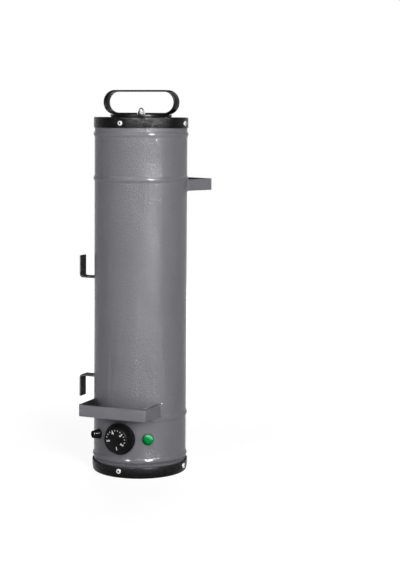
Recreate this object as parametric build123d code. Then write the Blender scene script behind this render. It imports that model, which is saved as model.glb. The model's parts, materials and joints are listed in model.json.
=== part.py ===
from build123d import *
import math
import os

# Portable welding electrode oven. Millimetres, +Z up, origin at the middle of the base.
# The dial faces -Y. Azimuths are degrees from -Y, positive towards +X.

# Outer shell: rolled sheet tube with swaged beads
shell_radius = 80.0
shell_wall = 1.0
bead_height = 2.0
bead_width = 10.0
end_bead_inset = 29.0
lower_bead_inset = 100.0
upper_bead_inset = 105.0

# Base cap and top collar
cap_wall = 2.0
cap_gap = 0.5
cap_height = 19.0
cap_screw_level = 12.3
cap_corner = 3.0
oven_height = 611.5
collar_wall = 1.2
collar_gap = 0.3
collar_height = 18.0
collar_screw_inset = 10.0
collar_corner = 1.6

# Pan head screws round both caps
screw_azimuths = [0.0, 90.0, 180.0, 270.0]
screw_head_radius = 4.2
screw_head_height = 2.5
screw_head_round = 1.4
screw_radius = 2.0
screw_length = 9.0
screw_gap = 0.1
recess_length = 4.2
recess_width = 1.1
recess_depth = 1.5
recess_turns = [45.0, 135.0]

# Inner chamber, set in from the shell by the thickness of the insulation
jacket_space = 27.5
chamber_wall = 1.0
chamber_flange = 10.5
chamber_floor_level = 136.0
chamber_floor_skirt = 10.0

# Bay plate, insulation
bay_plate_level = 112.0
bay_plate_wall = 1.2
bay_plate_flange = 10.0
board_gap = 0.5
jacket_collar_gap = 0.5
jacket_top_gap = 6.0
screw_pocket_gap = 1.0

# Band heaters
band_wall = 3.5
band_height = 100.0
lower_band_level = 190.0
upper_band_level = 380.0
lower_stud_offset = 6.5
upper_stud_offset = 11.0
band_split = 4.0
band_gap = 1.0
ear_wall = 1.5
ear_reach = 11.0
ear_length = 30.0
clamp_screw_radius = 2.0
clamp_nut_width = 7.0
clamp_nut_height = 3.0
stud_radius = 2.0
stud_reach = 10.0
stud_rise = 12.0

# Wire well through the jacket, behind the chamber
well_half_width = 16.0
well_reach = 20.0
well_margin = 10.0

# Sensing bulb and its capillary tube
bulb_radius = 3.0
bulb_length = 60.0
bulb_level = 305.0
capillary_radius = 1.0
capillary_standoff = 5.0
capillary_bend = 4.0
capillary_bay_level = 100.0
bulb_well_half_width = 5.0
bulb_well_reach = 16.0

# Grommets in the bay plate
wire_grommet_radius = 14.0
wire_grommet_wall = 1.5
tube_grommet_radius = 4.0
tube_grommet_wall = 1.4
grommet_lip = 1.2

# Controls level and the thermostat behind the dial
control_level = 67.5
thermostat_width = 36.0
thermostat_height = 40.0
thermostat_depth = 24.0
bushing_radius = 5.0
bushing_gap = 0.5
bushing_reach = 2.5
spindle_radius = 3.0
spindle_gap = 0.05
spindle_seat = 6.0
spindle_flat = 2.2
mount_screw_offset = 14.0
mount_screw_head = 3.2
mount_screw_head_height = 1.8
mount_screw_radius = 1.5
mount_screw_length = 8.0
bezel_radius = 26.9
bezel_thickness = 3.0
bezel_round = 1.2

# Dial knob
knob_radius = 24.0
knob_front_radius = 21.3
knob_standoff = 0.4
knob_length = 13.0
knob_chamfer = 1.0
knob_dish_radius = 19.8
knob_dish_depth = 0.4
flute_count = 30
flute_radius = 0.9
knob_web = 2.4
grub_radius = 1.5
grub_length = 6.0
grub_standoff = 3.6

# Pilot lamp
lamp_azimuth = 35.0
lens_radius = 9.5
lens_skirt = 2.2
lens_height = 7.0
lens_top_radius = 6.0
lens_facets = 12
lamp_body_radius = 5.8
lamp_body_length = 26.0
hole_gap = 0.3
lamp_nut_width = 16.0
lamp_nut_height = 3.0
tab_width = 4.8
tab_wall = 0.8
tab_length = 6.0
tab_spacing = 7.0

# Cable gland
gland_azimuth = -35.0
gland_level = 69.0
gland_bore = 4.0
gland_flange_radius = 8.1
gland_flange_height = 3.0
gland_base_radius = 7.6
gland_tip_radius = 5.5
gland_length = 13.0
gland_shank_radius = 6.0
gland_shank_length = 12.0
gland_nut_width = 17.0
gland_nut_height = 4.0

# Terminal block and earth stud under the bay plate
block_width = 40.0
block_depth = 16.0
block_height = 14.0
block_centre_y = 28.0
block_screw_radius = 1.5
block_screw_margin = 3.6
block_screw_head = 2.8
block_screw_head_height = 1.8
block_way_count = 4
block_way_pitch = 7.0
block_way_radius = 2.4
block_way_depth = 5.0
earth_x = -38.0
earth_y = 30.0
earth_radius = 2.0
earth_length = 14.0
earth_nut_width = 7.0
earth_nut_height = 3.2
earth_nut_drop = 4.0

# Insulated leads
lead_radius = 1.0
lead_bend = 6.0
lead_entry_drop = 8.0
thermostat_lead_x = 8.0
lamp_lead_x = 16.0
lamp_lead_spacing = 3.0

# Flat bar brackets and hooks
bar_width = 20.0
bar_wall = 3.0
bracket_width = 125.0
bracket_reach = 112.0
bracket_bend = 4.5
guard_level = 106.5
guard_azimuth = 0.0
carry_level = 485.2
carry_azimuth = 157.0
hook_azimuth = -90.0
hook_reach = 114.0
hook_bend = 6.0
hook_leg = 39.0
upper_hook_level = 329.2
lower_hook_level = 158.0

# Lid, handle, lifter rod and cup
lid_overlap = 2.5
lid_sheet = 3.5
lid_edge_round = 0.8
pan_lip = 1.5
pan_wall = 1.2
pan_clearance = 1.0
pan_depth = 15.0
pan_corner = 2.0
handle_width = 136.0
handle_height = 42.0
handle_wall = 3.0
handle_bar = 20.0
handle_gap = 24.0
rod_radius = 3.0
rod_hole_gap = 0.2
rod_thread = 8.0
nut_width = 10.0
nut_height = 5.2
nut_gap = 0.05
acorn_hex_height = 5.5
acorn_dome_radius = 4.7
acorn_height = 12.0
washer_radius = 6.0
washer_wall = 1.2
cup_level = 139.0
cup_clearance = 9.0
cup_taper = 0.8
cup_wall = 1.2
cup_height = 102.0
cup_corner = 6.0
rod_head_radius = 6.0
rod_head_height = 1.5

# Worked-out levels and radii
shell_inner = shell_radius - shell_wall
bead_levels = [
    end_bead_inset,
    lower_bead_inset,
    oven_height - upper_bead_inset,
    oven_height - end_bead_inset,
]
shell_bottom = cap_wall
shell_top = oven_height - collar_wall
cap_radius = shell_radius + cap_gap + cap_wall
collar_radius = shell_radius + collar_gap + collar_wall
collar_screw_level = oven_height - collar_screw_inset
chamber_outer = shell_inner - jacket_space
chamber_radius = chamber_outer - chamber_wall
chamber_flange_radius = chamber_outer + chamber_flange
band_levels = [lower_band_level, upper_band_level]
band_stud_offsets = [lower_stud_offset, upper_stud_offset]
chamber_bottom = chamber_floor_level - chamber_floor_skirt
band_outer = chamber_outer + band_wall
board_radius = shell_inner - board_gap
band_top = max(band_levels) + band_height
well_centre = chamber_outer + well_reach / 2
lid_underside = oven_height + pan_wall
lid_top = lid_underside + lid_sheet
lid_radius = chamber_radius + lid_overlap
pan_lip_radius = chamber_radius + pan_lip
pan_radius = chamber_radius - pan_clearance
cup_top_radius = chamber_radius - cup_clearance
cup_bottom_radius = cup_top_radius - cup_taper
pan_bottom = oven_height - pan_depth
thermostat_front = math.sqrt(shell_inner**2 - (thermostat_width / 2)**2)
thermostat_back = thermostat_front - thermostat_depth
bezel_front = shell_radius + bezel_thickness
knob_back = bezel_front + knob_standoff
knob_face = knob_back + knob_length
bulb_axis = chamber_outer + bulb_radius
capillary_axis = bulb_axis + capillary_standoff
block_level = bay_plate_level - bay_plate_wall - block_height
lead_level = block_level + block_height - lead_entry_drop


def radial_plane(azimuth, distance, level):
    """A plane square to the radius: x to the right seen from outside, y up, z outwards."""
    angle = math.radians(azimuth)
    outward = (math.sin(angle), -math.cos(angle), 0)
    across = (math.cos(angle), math.sin(angle), 0)
    origin = (outward[0] * distance, outward[1] * distance, level)
    return Plane(origin=origin, x_dir=across, z_dir=outward)


def radial_rod(azimuth, level, radius, inner, outer):
    """A round bar along the radius, between two distances from the oven's axis."""
    return extrude(radial_plane(azimuth, inner, level) * Circle(radius), outer - inner)


def radial_hex(azimuth, level, width, inner, outer):
    """A hexagon bar along the radius, of the given width across flats."""
    outline = RegularPolygon(width / 2, 6, major_radius=False)
    return extrude(radial_plane(azimuth, inner, level) * outline, outer - inner)


def disc(radius, bottom, top):
    """A solid disc about the oven's axis."""
    return extrude(Plane.XY.offset(bottom) * Circle(radius), top - bottom)


def ring(outer, inner, bottom, top):
    """A plain ring about the oven's axis."""
    return disc(outer, bottom, top) - disc(inner, bottom, top)


def block(x_low, x_high, y_low, y_high, bottom, top):
    """A rectangular block between given faces."""
    centre = ((x_low + x_high) / 2, (y_low + y_high) / 2, (bottom + top) / 2)
    return Pos(*centre) * Box(x_high - x_low, y_high - y_low, top - bottom)


def upright_rod(x, y, radius, bottom, top):
    """A round bar parallel to the oven's axis."""
    return extrude(Plane.XY.offset(bottom) * Pos(x, y) * Circle(radius), top - bottom)


def upright_hex(x, y, width, bottom, top):
    """A hexagon bar parallel to the oven's axis."""
    outline = Pos(x, y) * RegularPolygon(width / 2, 6, major_radius=False)
    return extrude(Plane.XY.offset(bottom) * outline, top - bottom)


def round_tube(points, radius, bend):
    """A round wire or tube along straight runs joined by tangent arcs."""
    path = FilletPolyline(*points, radius=bend)
    section = Plane(origin=path @ 0, z_dir=path % 0) * Circle(radius)
    return sweep(section, path=path)


def spun(outline):
    """The solid of revolution of a closed outline of edges, given in the XZ plane."""
    return revolve(make_face(outline), Axis.Z)


def quarter_arc(start, end, centre):
    """A quarter circle in the XZ plane, about a centre given as radius and level."""
    reach = math.hypot(start[0] - centre[0], start[2] - centre[1])
    middle_x = (start[0] + end[0]) / 2 - centre[0]
    middle_z = (start[2] + end[2]) / 2 - centre[1]
    share = reach / math.hypot(middle_x, middle_z)
    middle = (centre[0] + middle_x * share, 0, centre[1] + middle_z * share)
    return ThreePointArc(start, middle, end)


def save(shape, name):
    """Write one node."""
    export_step(shape, "parts/" + name + ".step")


def save_group(solids, name):
    """Write one node that holds several separate solids."""
    export_step(Compound(children=list(solids)), "parts/" + name + ".step")


def beaded_line(radius):
    """One face of the shell from bottom to top, with an outward arc at each bead."""
    edges = []
    low = shell_bottom
    for level in bead_levels:
        start = (radius, 0, level - bead_width / 2)
        crest = (radius + bead_height, 0, level)
        end = (radius, 0, level + bead_width / 2)
        edges.append(Line((radius, 0, low), start))
        edges.append(ThreePointArc(start, crest, end))
        low = end[2]
    edges.append(Line((radius, 0, low), (radius, 0, shell_top)))
    return edges


def shell_envelope():
    """The shell's outside with its beads, filled solid, that cuts whatever sits on the shell."""
    outline = beaded_line(shell_radius)
    outline.append(Line((shell_radius, 0, shell_bottom), (0, 0, shell_bottom)))
    outline.append(Line((0, 0, shell_bottom), (0, 0, shell_top)))
    outline.append(Line((0, 0, shell_top), (shell_radius, 0, shell_top)))
    return spun(outline)


def outer_shell():
    outline = beaded_line(shell_radius) + beaded_line(shell_inner)
    outline.append(Line((shell_inner, 0, shell_bottom), (shell_radius, 0, shell_bottom)))
    outline.append(Line((shell_inner, 0, shell_top), (shell_radius, 0, shell_top)))
    tube = spun(outline)
    reach = shell_radius + bead_height
    for azimuth in screw_azimuths:
        for level in (cap_screw_level, collar_screw_level):
            tube -= radial_rod(azimuth, level, screw_radius + screw_gap, shell_radius / 2, reach)
    tube -= radial_rod(0, control_level, bushing_radius + bushing_gap, shell_radius / 2, reach)
    tube -= radial_rod(lamp_azimuth, control_level, lamp_body_radius + hole_gap, shell_radius / 2, reach)
    tube -= radial_rod(gland_azimuth, gland_level, gland_shank_radius + hole_gap, shell_radius / 2, reach)
    for side in (-1, 1):
        tube -= mount_screw_bar(side, mount_screw_radius + screw_gap, shell_radius / 2, reach)
    return tube


def cap_screws(level, seat):
    """Four pan head screws, their heads on a skirt of the given radius."""
    screws = []
    for azimuth in screw_azimuths:
        head = radial_rod(azimuth, level, screw_head_radius, seat, seat + screw_head_height)
        outward = radial_plane(azimuth, 0, level).z_dir
        rim = head.faces().sort_by(Axis(origin=(0, 0, 0), direction=outward))[-1].edges()
        head = fillet(rim, screw_head_round)
        slot_plane = radial_plane(azimuth, seat + screw_head_height - recess_depth, level)
        for turn in recess_turns:
            outline = Rot(0, 0, turn) * Rectangle(recess_length, recess_width)
            head -= extrude(slot_plane * outline, recess_depth)
        shank = radial_rod(azimuth, level, screw_radius, seat - screw_length, seat)
        screws.append((head + shank).solid())
    return screws


def base_cap():
    inner = cap_radius - cap_wall
    outline = [
        Line((0, 0, 0), (cap_radius - cap_corner, 0, 0)),
        quarter_arc(
            (cap_radius - cap_corner, 0, 0),
            (cap_radius, 0, cap_corner),
            (cap_radius - cap_corner, cap_corner),
        ),
        Line((cap_radius, 0, cap_corner), (cap_radius, 0, cap_height)),
        Line((cap_radius, 0, cap_height), (inner, 0, cap_height)),
        Line((inner, 0, cap_height), (inner, 0, cap_wall)),
        Line((inner, 0, cap_wall), (0, 0, cap_wall)),
        Line((0, 0, cap_wall), (0, 0, 0)),
    ]
    cap = spun(outline)
    for azimuth in screw_azimuths:
        cap -= radial_rod(azimuth, cap_screw_level, screw_radius + screw_gap, inner / 2, 2 * cap_radius)
    return cap


def top_collar():
    inner = collar_radius - collar_wall
    low = oven_height - collar_height
    plate = oven_height - collar_wall
    outline = [
        Line((chamber_radius, 0, oven_height), (collar_radius - collar_corner, 0, oven_height)),
        quarter_arc(
            (collar_radius - collar_corner, 0, oven_height),
            (collar_radius, 0, oven_height - collar_corner),
            (collar_radius - collar_corner, oven_height - collar_corner),
        ),
        Line((collar_radius, 0, oven_height - collar_corner), (collar_radius, 0, low)),
        Line((collar_radius, 0, low), (inner, 0, low)),
        Line((inner, 0, low), (inner, 0, plate)),
        Line((inner, 0, plate), (chamber_radius, 0, plate)),
        Line((chamber_radius, 0, plate), (chamber_radius, 0, oven_height)),
    ]
    collar = spun(outline)
    for azimuth in screw_azimuths:
        reach = 2 * collar_radius
        collar -= radial_rod(azimuth, collar_screw_level, screw_radius + screw_gap, inner / 2, reach)
    return collar


def inner_chamber():
    flange_bottom = shell_top - chamber_wall
    tube = ring(chamber_outer, chamber_radius, chamber_bottom, shell_top)
    return tube + ring(chamber_flange_radius, chamber_radius, flange_bottom, shell_top)


def chamber_floor():
    pan = disc(chamber_radius, chamber_bottom, chamber_floor_level)
    inside = chamber_radius - chamber_wall
    return pan - disc(inside, chamber_bottom, chamber_floor_level - chamber_wall)


def wire_passage(bottom, top):
    """The hole that the heater leads go down, behind the chamber."""
    return upright_rod(0, well_centre, wire_grommet_radius, bottom, top)


def tube_passage(bottom, top):
    """The hole that the capillary tube goes down."""
    return upright_rod(capillary_axis, 0, tube_grommet_radius, bottom, top)


def bay_plate():
    bottom = bay_plate_level - bay_plate_wall
    plate = disc(shell_inner, bay_plate_level - bay_plate_flange, bay_plate_level)
    plate -= disc(shell_inner - bay_plate_wall, bay_plate_level - bay_plate_flange, bottom)
    plate -= wire_passage(bottom, bay_plate_level)
    plate -= tube_passage(bottom, bay_plate_level)
    plate -= upright_rod(earth_x, earth_y, earth_radius + screw_gap, bottom, bay_plate_level)
    for side in (-1, 1):
        plate -= block_screw_bar(side, block_screw_radius + screw_gap, bottom, bay_plate_level)
    return plate


def insulation_board():
    board = disc(board_radius, bay_plate_level, chamber_bottom)
    board -= wire_passage(bay_plate_level, chamber_bottom)
    board -= tube_passage(bay_plate_level, chamber_bottom)
    board -= disc(earth_nut_width, bay_plate_level, bay_plate_level + earth_nut_drop).moved(
        Location((earth_x, earth_y, 0))
    )
    return board


def insulation_jacket():
    top = shell_top - chamber_wall - jacket_top_gap
    jacket = disc(board_radius, chamber_bottom, top)
    jacket -= disc(chamber_outer + jacket_collar_gap, chamber_bottom, top)
    recess_low = min(band_levels) - well_margin
    recess_high = band_top + well_margin
    jacket -= disc(band_outer + band_gap, recess_low, recess_high)
    well_outer = chamber_outer + well_reach
    jacket -= block(-well_half_width, well_half_width, 0, well_outer, chamber_bottom, recess_high)
    bulb_top = bulb_level + bulb_length + well_margin
    bulb_outer = chamber_outer + bulb_well_reach
    jacket -= block(0, bulb_outer, -bulb_well_half_width, bulb_well_half_width, chamber_bottom, bulb_top)
    inner_end = collar_radius - screw_length - screw_pocket_gap
    for azimuth in screw_azimuths:
        pocket = screw_radius + screw_pocket_gap
        jacket -= radial_rod(azimuth, collar_screw_level, pocket, inner_end, collar_radius)
    return jacket


def heater_band(level, stud_offset):
    """One band heater: a split ring with two clamp ears and two terminal studs, at the back."""
    middle = level + band_height / 2
    band = ring(band_outer, chamber_outer, level, level + band_height)
    half = band_split / 2
    band -= block(-half, half, 0, 2 * band_outer, level, level + band_height)
    ear_low = middle - ear_length / 2
    ear_high = middle + ear_length / 2
    for side in (-1, 1):
        near = side * half
        far = side * (half + ear_wall)
        ear = block(min(near, far), max(near, far), chamber_outer, band_outer + ear_reach, ear_low, ear_high)
        band += ear - disc(chamber_outer, ear_low, ear_high)
        stud_level = level + stud_rise
        stud_plane = Plane(origin=(side * stud_offset, chamber_outer, stud_level), z_dir=(0, 1, 0))
        band += extrude(stud_plane * Circle(stud_radius), stud_reach) - disc(
            chamber_outer, stud_level - stud_radius, stud_level + stud_radius
        )
    ear_hole = Plane(origin=(-band_outer, band_outer + ear_reach / 2, middle), z_dir=(1, 0, 0))
    band -= extrude(ear_hole * Circle(clamp_screw_radius + screw_gap), 2 * band_outer)
    return band.solid()


def clamp_screw(level):
    """The screw and nut that draw one band's ears together."""
    middle = level + band_height / 2
    reach = band_split / 2 + ear_wall
    y = band_outer + ear_reach / 2
    head_plane = Plane(origin=(-reach - clamp_nut_height, y, middle), z_dir=(1, 0, 0))
    outline = RegularPolygon(clamp_nut_width / 2, 6, major_radius=False)
    head = extrude(head_plane * outline, clamp_nut_height)
    length = 2 * (reach + clamp_nut_height)
    shank = extrude(head_plane * Circle(clamp_screw_radius), length)
    nut_plane = Plane(origin=(reach, y, middle), z_dir=(1, 0, 0))
    nut = extrude(nut_plane * outline, clamp_nut_height)
    return (head + shank + nut).solid()


def grommet(passage_radius, wall, x, y):
    """A rubber ring in a hole of the bay plate, with a lip below the plate."""
    bottom = bay_plate_level - bay_plate_wall
    body = upright_rod(x, y, passage_radius, bottom - grommet_lip, bay_plate_level)
    body += upright_rod(x, y, passage_radius + wall, bottom - grommet_lip, bottom)
    return body - upright_rod(x, y, passage_radius - wall, bottom - grommet_lip, bay_plate_level)


def sensing_bulb():
    top = bulb_level + bulb_length
    bulb = upright_rod(bulb_axis, 0, bulb_radius, bulb_level, top)
    return fillet(bulb.edges().filter_by(GeomType.CIRCLE), bulb_radius / 3)


def capillary_tube():
    entry_x = thermostat_width / 4
    entry_y = -(thermostat_front + thermostat_back) / 2
    start_drop = 2 * capillary_bend
    points = [
        (bulb_axis, 0, bulb_level),
        (bulb_axis, 0, bulb_level - start_drop / 2),
        (capillary_axis, 0, bulb_level - start_drop / 2 - capillary_standoff),
        (capillary_axis, 0, capillary_bay_level),
        (entry_x, entry_y, capillary_bay_level),
        (entry_x, entry_y, control_level + thermostat_height / 2),
    ]
    bends = [capillary_bend, capillary_bend, capillary_bend, capillary_bend]
    return round_tube(points, capillary_radius, bends)


def front_rod(radius, inner, outer, x=0.0):
    """A round bar along the dial's axis, between two distances in front of the oven's axis."""
    plane = Plane(origin=(x, -inner, control_level), x_dir=(1, 0, 0), z_dir=(0, -1, 0))
    return extrude(plane * Circle(radius), outer - inner)


def mount_screw_bar(side, radius, inner, outer):
    return front_rod(radius, inner, outer, side * mount_screw_offset)


def thermostat_body():
    half = thermostat_width / 2
    low = control_level - thermostat_height / 2
    high = control_level + thermostat_height / 2
    body = block(-half, half, -thermostat_front, -thermostat_back, low, high)
    body = fillet(body.edges().filter_by(Axis.Y), bezel_round)
    body += front_rod(bushing_radius, thermostat_back, shell_radius + bushing_reach)
    body -= front_rod(spindle_radius + spindle_gap, thermostat_front - spindle_seat, bezel_front)
    for side in (-1, 1):
        body -= mount_screw_bar(side, mount_screw_radius, mount_screw_seat() - mount_screw_length, bezel_front)
    return body


def mount_screw_seat():
    """Where the screws' flat heads meet the round shell."""
    return math.sqrt(shell_radius**2 - (mount_screw_offset - mount_screw_head)**2)


def mount_screws():
    seat = mount_screw_seat()
    screws = []
    for side in (-1, 1):
        head = mount_screw_bar(side, mount_screw_head, seat, seat + mount_screw_head_height)
        shank = mount_screw_bar(side, mount_screw_radius, seat - mount_screw_length, seat)
        screws.append((head + shank).solid())
    return screws


def dial_bezel():
    """The fixed ring behind the knob, hollowed at the back to sit on the round shell."""
    bezel = front_rod(bezel_radius, shell_radius / 2, bezel_front)
    rim = bezel.faces().sort_by(Axis.Y)[0].edges()
    bezel = fillet(rim, bezel_round)
    bezel -= shell_envelope()
    bezel -= front_rod(bushing_radius + bushing_gap, shell_radius / 2, 2 * bezel_front)
    pocket_top = mount_screw_seat() + mount_screw_head_height + screw_gap
    for side in (-1, 1):
        pocket = mount_screw_head + hole_gap
        bezel -= mount_screw_bar(side, pocket, shell_radius / 2, pocket_top)
    return bezel


def dial_knob():
    """The turning knob: a tapered fluted cap on a hub, hollow behind, with a dished face."""
    back_plane = Plane(origin=(0, -knob_back, control_level), x_dir=(1, 0, 0), z_dir=(0, -1, 0))
    front_plane = back_plane.offset(knob_length)
    knob = loft([back_plane * Circle(knob_radius), front_plane * Circle(knob_front_radius)], ruled=True)
    rim = knob.faces().sort_by(Axis.Y)[0].edges()
    knob = chamfer(rim, knob_chamfer)
    knob -= front_rod(knob_dish_radius, knob_face - knob_dish_depth, 2 * knob_face)
    for index in range(flute_count):
        angle = 2 * math.pi * index / flute_count
        x = knob_radius * math.cos(angle)
        z = control_level + knob_radius * math.sin(angle)
        plane = Plane(origin=(x, -knob_back, z), x_dir=(1, 0, 0), z_dir=(0, -1, 0))
        knob -= extrude(plane * Circle(flute_radius), knob_length - 2 * knob_chamfer)
    hub_radius = 3 * spindle_radius
    hollow = front_rod(knob_front_radius - knob_web, knob_back, knob_face - knob_web - knob_dish_depth)
    knob -= hollow - front_rod(hub_radius, knob_back, knob_face)
    knob -= spindle_bar(spindle_gap, knob_back, knob_face - knob_web)
    knob -= grub_bar(grub_radius, 2 * knob_radius)
    return knob.solid()


def spindle_bar(gap, inner, outer):
    """The D-shaped spindle section, grown by a gap, along the dial's axis."""
    round_bar = front_rod(spindle_radius + gap, inner, outer)
    top = control_level + spindle_flat + gap
    reach = 2 * spindle_radius
    return round_bar - block(-reach, reach, -2 * outer, 0, top, top + reach)


def dial_spindle():
    inner = thermostat_front - spindle_seat + knob_standoff
    outer = knob_face - knob_web - knob_standoff
    return front_rod(spindle_radius, inner, knob_back) + spindle_bar(0, knob_back, outer)


def grub_bar(radius, length):
    """The set screw's bar, from the spindle's flat straight up."""
    y = -(knob_back + grub_standoff)
    return upright_rod(0, y, radius, control_level + spindle_flat, control_level + spindle_flat + length)


def knob_grub_screw():
    screw = grub_bar(grub_radius, grub_length)
    top = control_level + spindle_flat + grub_length
    socket = upright_hex(0, -(knob_back + grub_standoff), grub_radius, top - grub_radius, top)
    return screw - socket


def lamp_lens():
    """A round skirt on the shell and a faceted jewel above it."""
    skirt = radial_rod(lamp_azimuth, control_level, lens_radius, shell_inner, shell_radius + lens_skirt)
    plane = radial_plane(lamp_azimuth, shell_radius + lens_skirt, control_level)
    low = RegularPolygon(lens_radius, lens_facets)
    high = RegularPolygon(lens_top_radius, lens_facets)
    jewel = loft([plane * low, plane.offset(lens_height - lens_skirt) * high], ruled=True)
    lens = skirt + jewel
    return (lens - disc(shell_radius, 0, oven_height)).solid()


def lamp_body():
    """The lamp's threaded barrel, its flat end against the hollow back of the lens."""
    outer = math.sqrt(shell_radius**2 - lamp_body_radius**2)
    inner = shell_radius - lamp_body_length
    return radial_rod(lamp_azimuth, control_level, lamp_body_radius, inner, outer)


def lamp_tabs():
    tabs = []
    root = shell_radius - lamp_body_length
    plane = radial_plane(lamp_azimuth, root - tab_length, control_level)
    for side in (-1, 1):
        outline = Pos(0, side * tab_spacing / 2) * Rectangle(tab_width, tab_wall)
        tabs.append(extrude(plane * outline, tab_length).solid())
    return tabs


def inner_nut(azimuth, level, width, height, bore):
    """A nut whose flat outer face bears on the round inside of the shell."""
    half = width / math.sqrt(3)
    seat = math.sqrt(shell_inner**2 - half**2)
    nut = radial_hex(azimuth, level, width, seat - height, seat)
    return nut - radial_rod(azimuth, level, bore, seat - 2 * height, seat + height)


def cable_gland():
    plane = radial_plane(gland_azimuth, shell_radius + gland_flange_height, gland_level)
    cone_height = gland_length - gland_flange_height
    cone = loft(
        [plane * Circle(gland_base_radius), plane.offset(cone_height) * Circle(gland_tip_radius)], ruled=True
    )
    outward = plane.z_dir
    tip = cone.faces().sort_by(Axis(origin=(0, 0, 0), direction=outward))[-1].edges()
    cone = fillet(tip, bezel_round)
    flange_top = shell_radius + gland_flange_height
    flange = radial_rod(gland_azimuth, gland_level, gland_flange_radius, shell_inner, flange_top)
    flange -= disc(shell_radius, 0, oven_height)
    shank_end = shell_radius - gland_shank_length
    shank = radial_rod(gland_azimuth, gland_level, gland_shank_radius, shank_end, flange_top)
    gland = cone + flange + shank
    gland -= radial_rod(gland_azimuth, gland_level, gland_bore, shank_end / 2, 2 * shell_radius)
    return gland.solid()


def terminal_block():
    half = block_width / 2
    front = block_centre_y - block_depth / 2
    back = block_centre_y + block_depth / 2
    body = block(-half, half, front, back, block_level, block_level + block_height)
    for index in range(block_way_count):
        x = block_way_pitch * (index - (block_way_count - 1) / 2)
        body -= upright_rod(x, block_centre_y, block_way_radius, block_level, block_level + block_way_depth)
    for side in (-1, 1):
        radius = block_screw_radius + screw_gap
        body -= block_screw_bar(side, radius, block_level, block_level + block_height)
    return body


def block_screw_bar(side, radius, bottom, top):
    x = side * (block_width / 2 - block_screw_margin)
    return upright_rod(x, block_centre_y, radius, bottom, top)


def block_screws():
    screws = []
    for side in (-1, 1):
        head = block_screw_bar(side, block_screw_head, block_level - block_screw_head_height, block_level)
        shank = block_screw_bar(side, block_screw_radius, block_level, bay_plate_level)
        screws.append((head + shank).solid())
    return screws


def earth_stud():
    nut_top = bay_plate_level - bay_plate_wall
    top = bay_plate_level + earth_nut_drop / 2
    stud = upright_rod(earth_x, earth_y, earth_radius, top - earth_length, top)
    lower = upright_hex(earth_x, earth_y, earth_nut_width, nut_top - earth_nut_height, nut_top)
    head = upright_rod(earth_x, earth_y, earth_nut_width / 2, bay_plate_level, top)
    return (stud + lower + head).solid()


def heater_leads():
    leads = []
    back = block_centre_y + block_depth / 2
    y = chamber_outer + stud_reach - lead_radius
    for level, offset in zip(band_levels, band_stud_offsets):
        for side in (-1, 1):
            x = side * offset
            points = [
                (x, y, level + stud_rise - stud_radius),
                (x, y, lead_level),
                (x, back, lead_level),
            ]
            leads.append(round_tube(points, lead_radius, lead_bend).solid())
    return leads


def bay_leads():
    front = block_centre_y - block_depth / 2
    leads = []
    for side in (-1, 1):
        x = side * thermostat_lead_x
        points = [
            (x, front, lead_level),
            (x, 0, lead_level),
            (x, -thermostat_back + front, control_level),
            (x, -thermostat_back, control_level),
        ]
        leads.append(round_tube(points, lead_radius, lead_bend).solid())
    tab_end = shell_radius - lamp_body_length - tab_length
    for side, start_x in ((-1, lamp_lead_x), (1, lamp_lead_x - lamp_lead_spacing)):
        level = control_level + side * tab_spacing / 2
        end = radial_plane(lamp_azimuth, tab_end, level).origin
        before = radial_plane(lamp_azimuth, tab_end - 2 * lead_bend, level).origin
        points = [
            (start_x, front, lead_level),
            (start_x, front - 2 * lead_bend, lead_level),
            (before.X, before.Y, level),
            (end.X, end.Y, level),
        ]
        leads.append(round_tube(points, lead_radius, lead_bend).solid())
    return leads


def u_bracket(azimuth, level):
    """A flat bar on edge bent to a U, its legs cut to the round shell and welded to it."""
    bottom = Plane.XY.offset(level)
    half = bracket_width / 2
    outer = bottom * Pos(0, -bracket_reach / 2) * Rectangle(bracket_width, bracket_reach)
    outer = fillet(outer.vertices().group_by(Axis.Y)[0], bracket_bend)
    inner_reach = bracket_reach - bar_wall
    inner_width = bracket_width - 2 * bar_wall
    inner = bottom * Pos(0, -inner_reach / 2) * Rectangle(inner_width, inner_reach)
    inner = fillet(inner.vertices().group_by(Axis.Y)[0], bracket_bend - bar_wall)
    bar = extrude(outer - inner, bar_width)
    bar -= block(-half, half, -math.sqrt(shell_radius**2 - half**2) / 2, half, level, level + bar_width)
    bar -= shell_envelope()
    return Rot(0, 0, azimuth) * bar.solid()


def cable_hook(level, direction):
    """An L of flat bar: out from the shell, then up or down in front of it."""
    out = hook_reach
    far = level + direction * hook_leg
    near = level + direction * bar_wall
    start = shell_radius / 2
    outline = Polyline(
        (start, 0, level), (out, 0, level), (out, 0, far), (out - bar_wall, 0, far),
        (out - bar_wall, 0, near), (start, 0, near), close=True,
    )
    bar = extrude(make_face(outline), bar_width / 2, both=True)
    uprights = bar.edges().filter_by(Axis.Y)
    outer_corner = uprights.sort_by_distance((out, 0, level))[0]
    bar = fillet(outer_corner, hook_bend)
    inner_corner = bar.edges().filter_by(Axis.Y).sort_by_distance((out - bar_wall, 0, near))[0]
    bar = fillet(inner_corner, hook_bend - bar_wall)
    bar -= disc(shell_radius, 0, oven_height)
    return Rot(0, 0, hook_azimuth - 90) * bar.solid()


def lid_cover():
    cover = disc(lid_radius, lid_underside, lid_top)
    cover = fillet(cover.edges().filter_by(GeomType.CIRCLE).sort_by(Axis.Z)[-1], lid_edge_round)
    return cover - disc(rod_radius + rod_hole_gap, lid_underside, lid_top)


def lid_pan():
    """The pressed plug under the lid, with a lip that rests on the collar."""
    plug = disc(pan_radius, pan_bottom, lid_underside)
    plug = fillet(plug.edges().filter_by(GeomType.CIRCLE).sort_by(Axis.Z)[0], pan_corner)
    plug -= disc(pan_radius - pan_wall, pan_bottom + pan_wall, lid_underside)
    plug += ring(pan_lip_radius, pan_radius - pan_wall, oven_height, lid_underside)
    return plug - disc(rod_radius + rod_hole_gap, pan_bottom, lid_underside)


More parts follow.
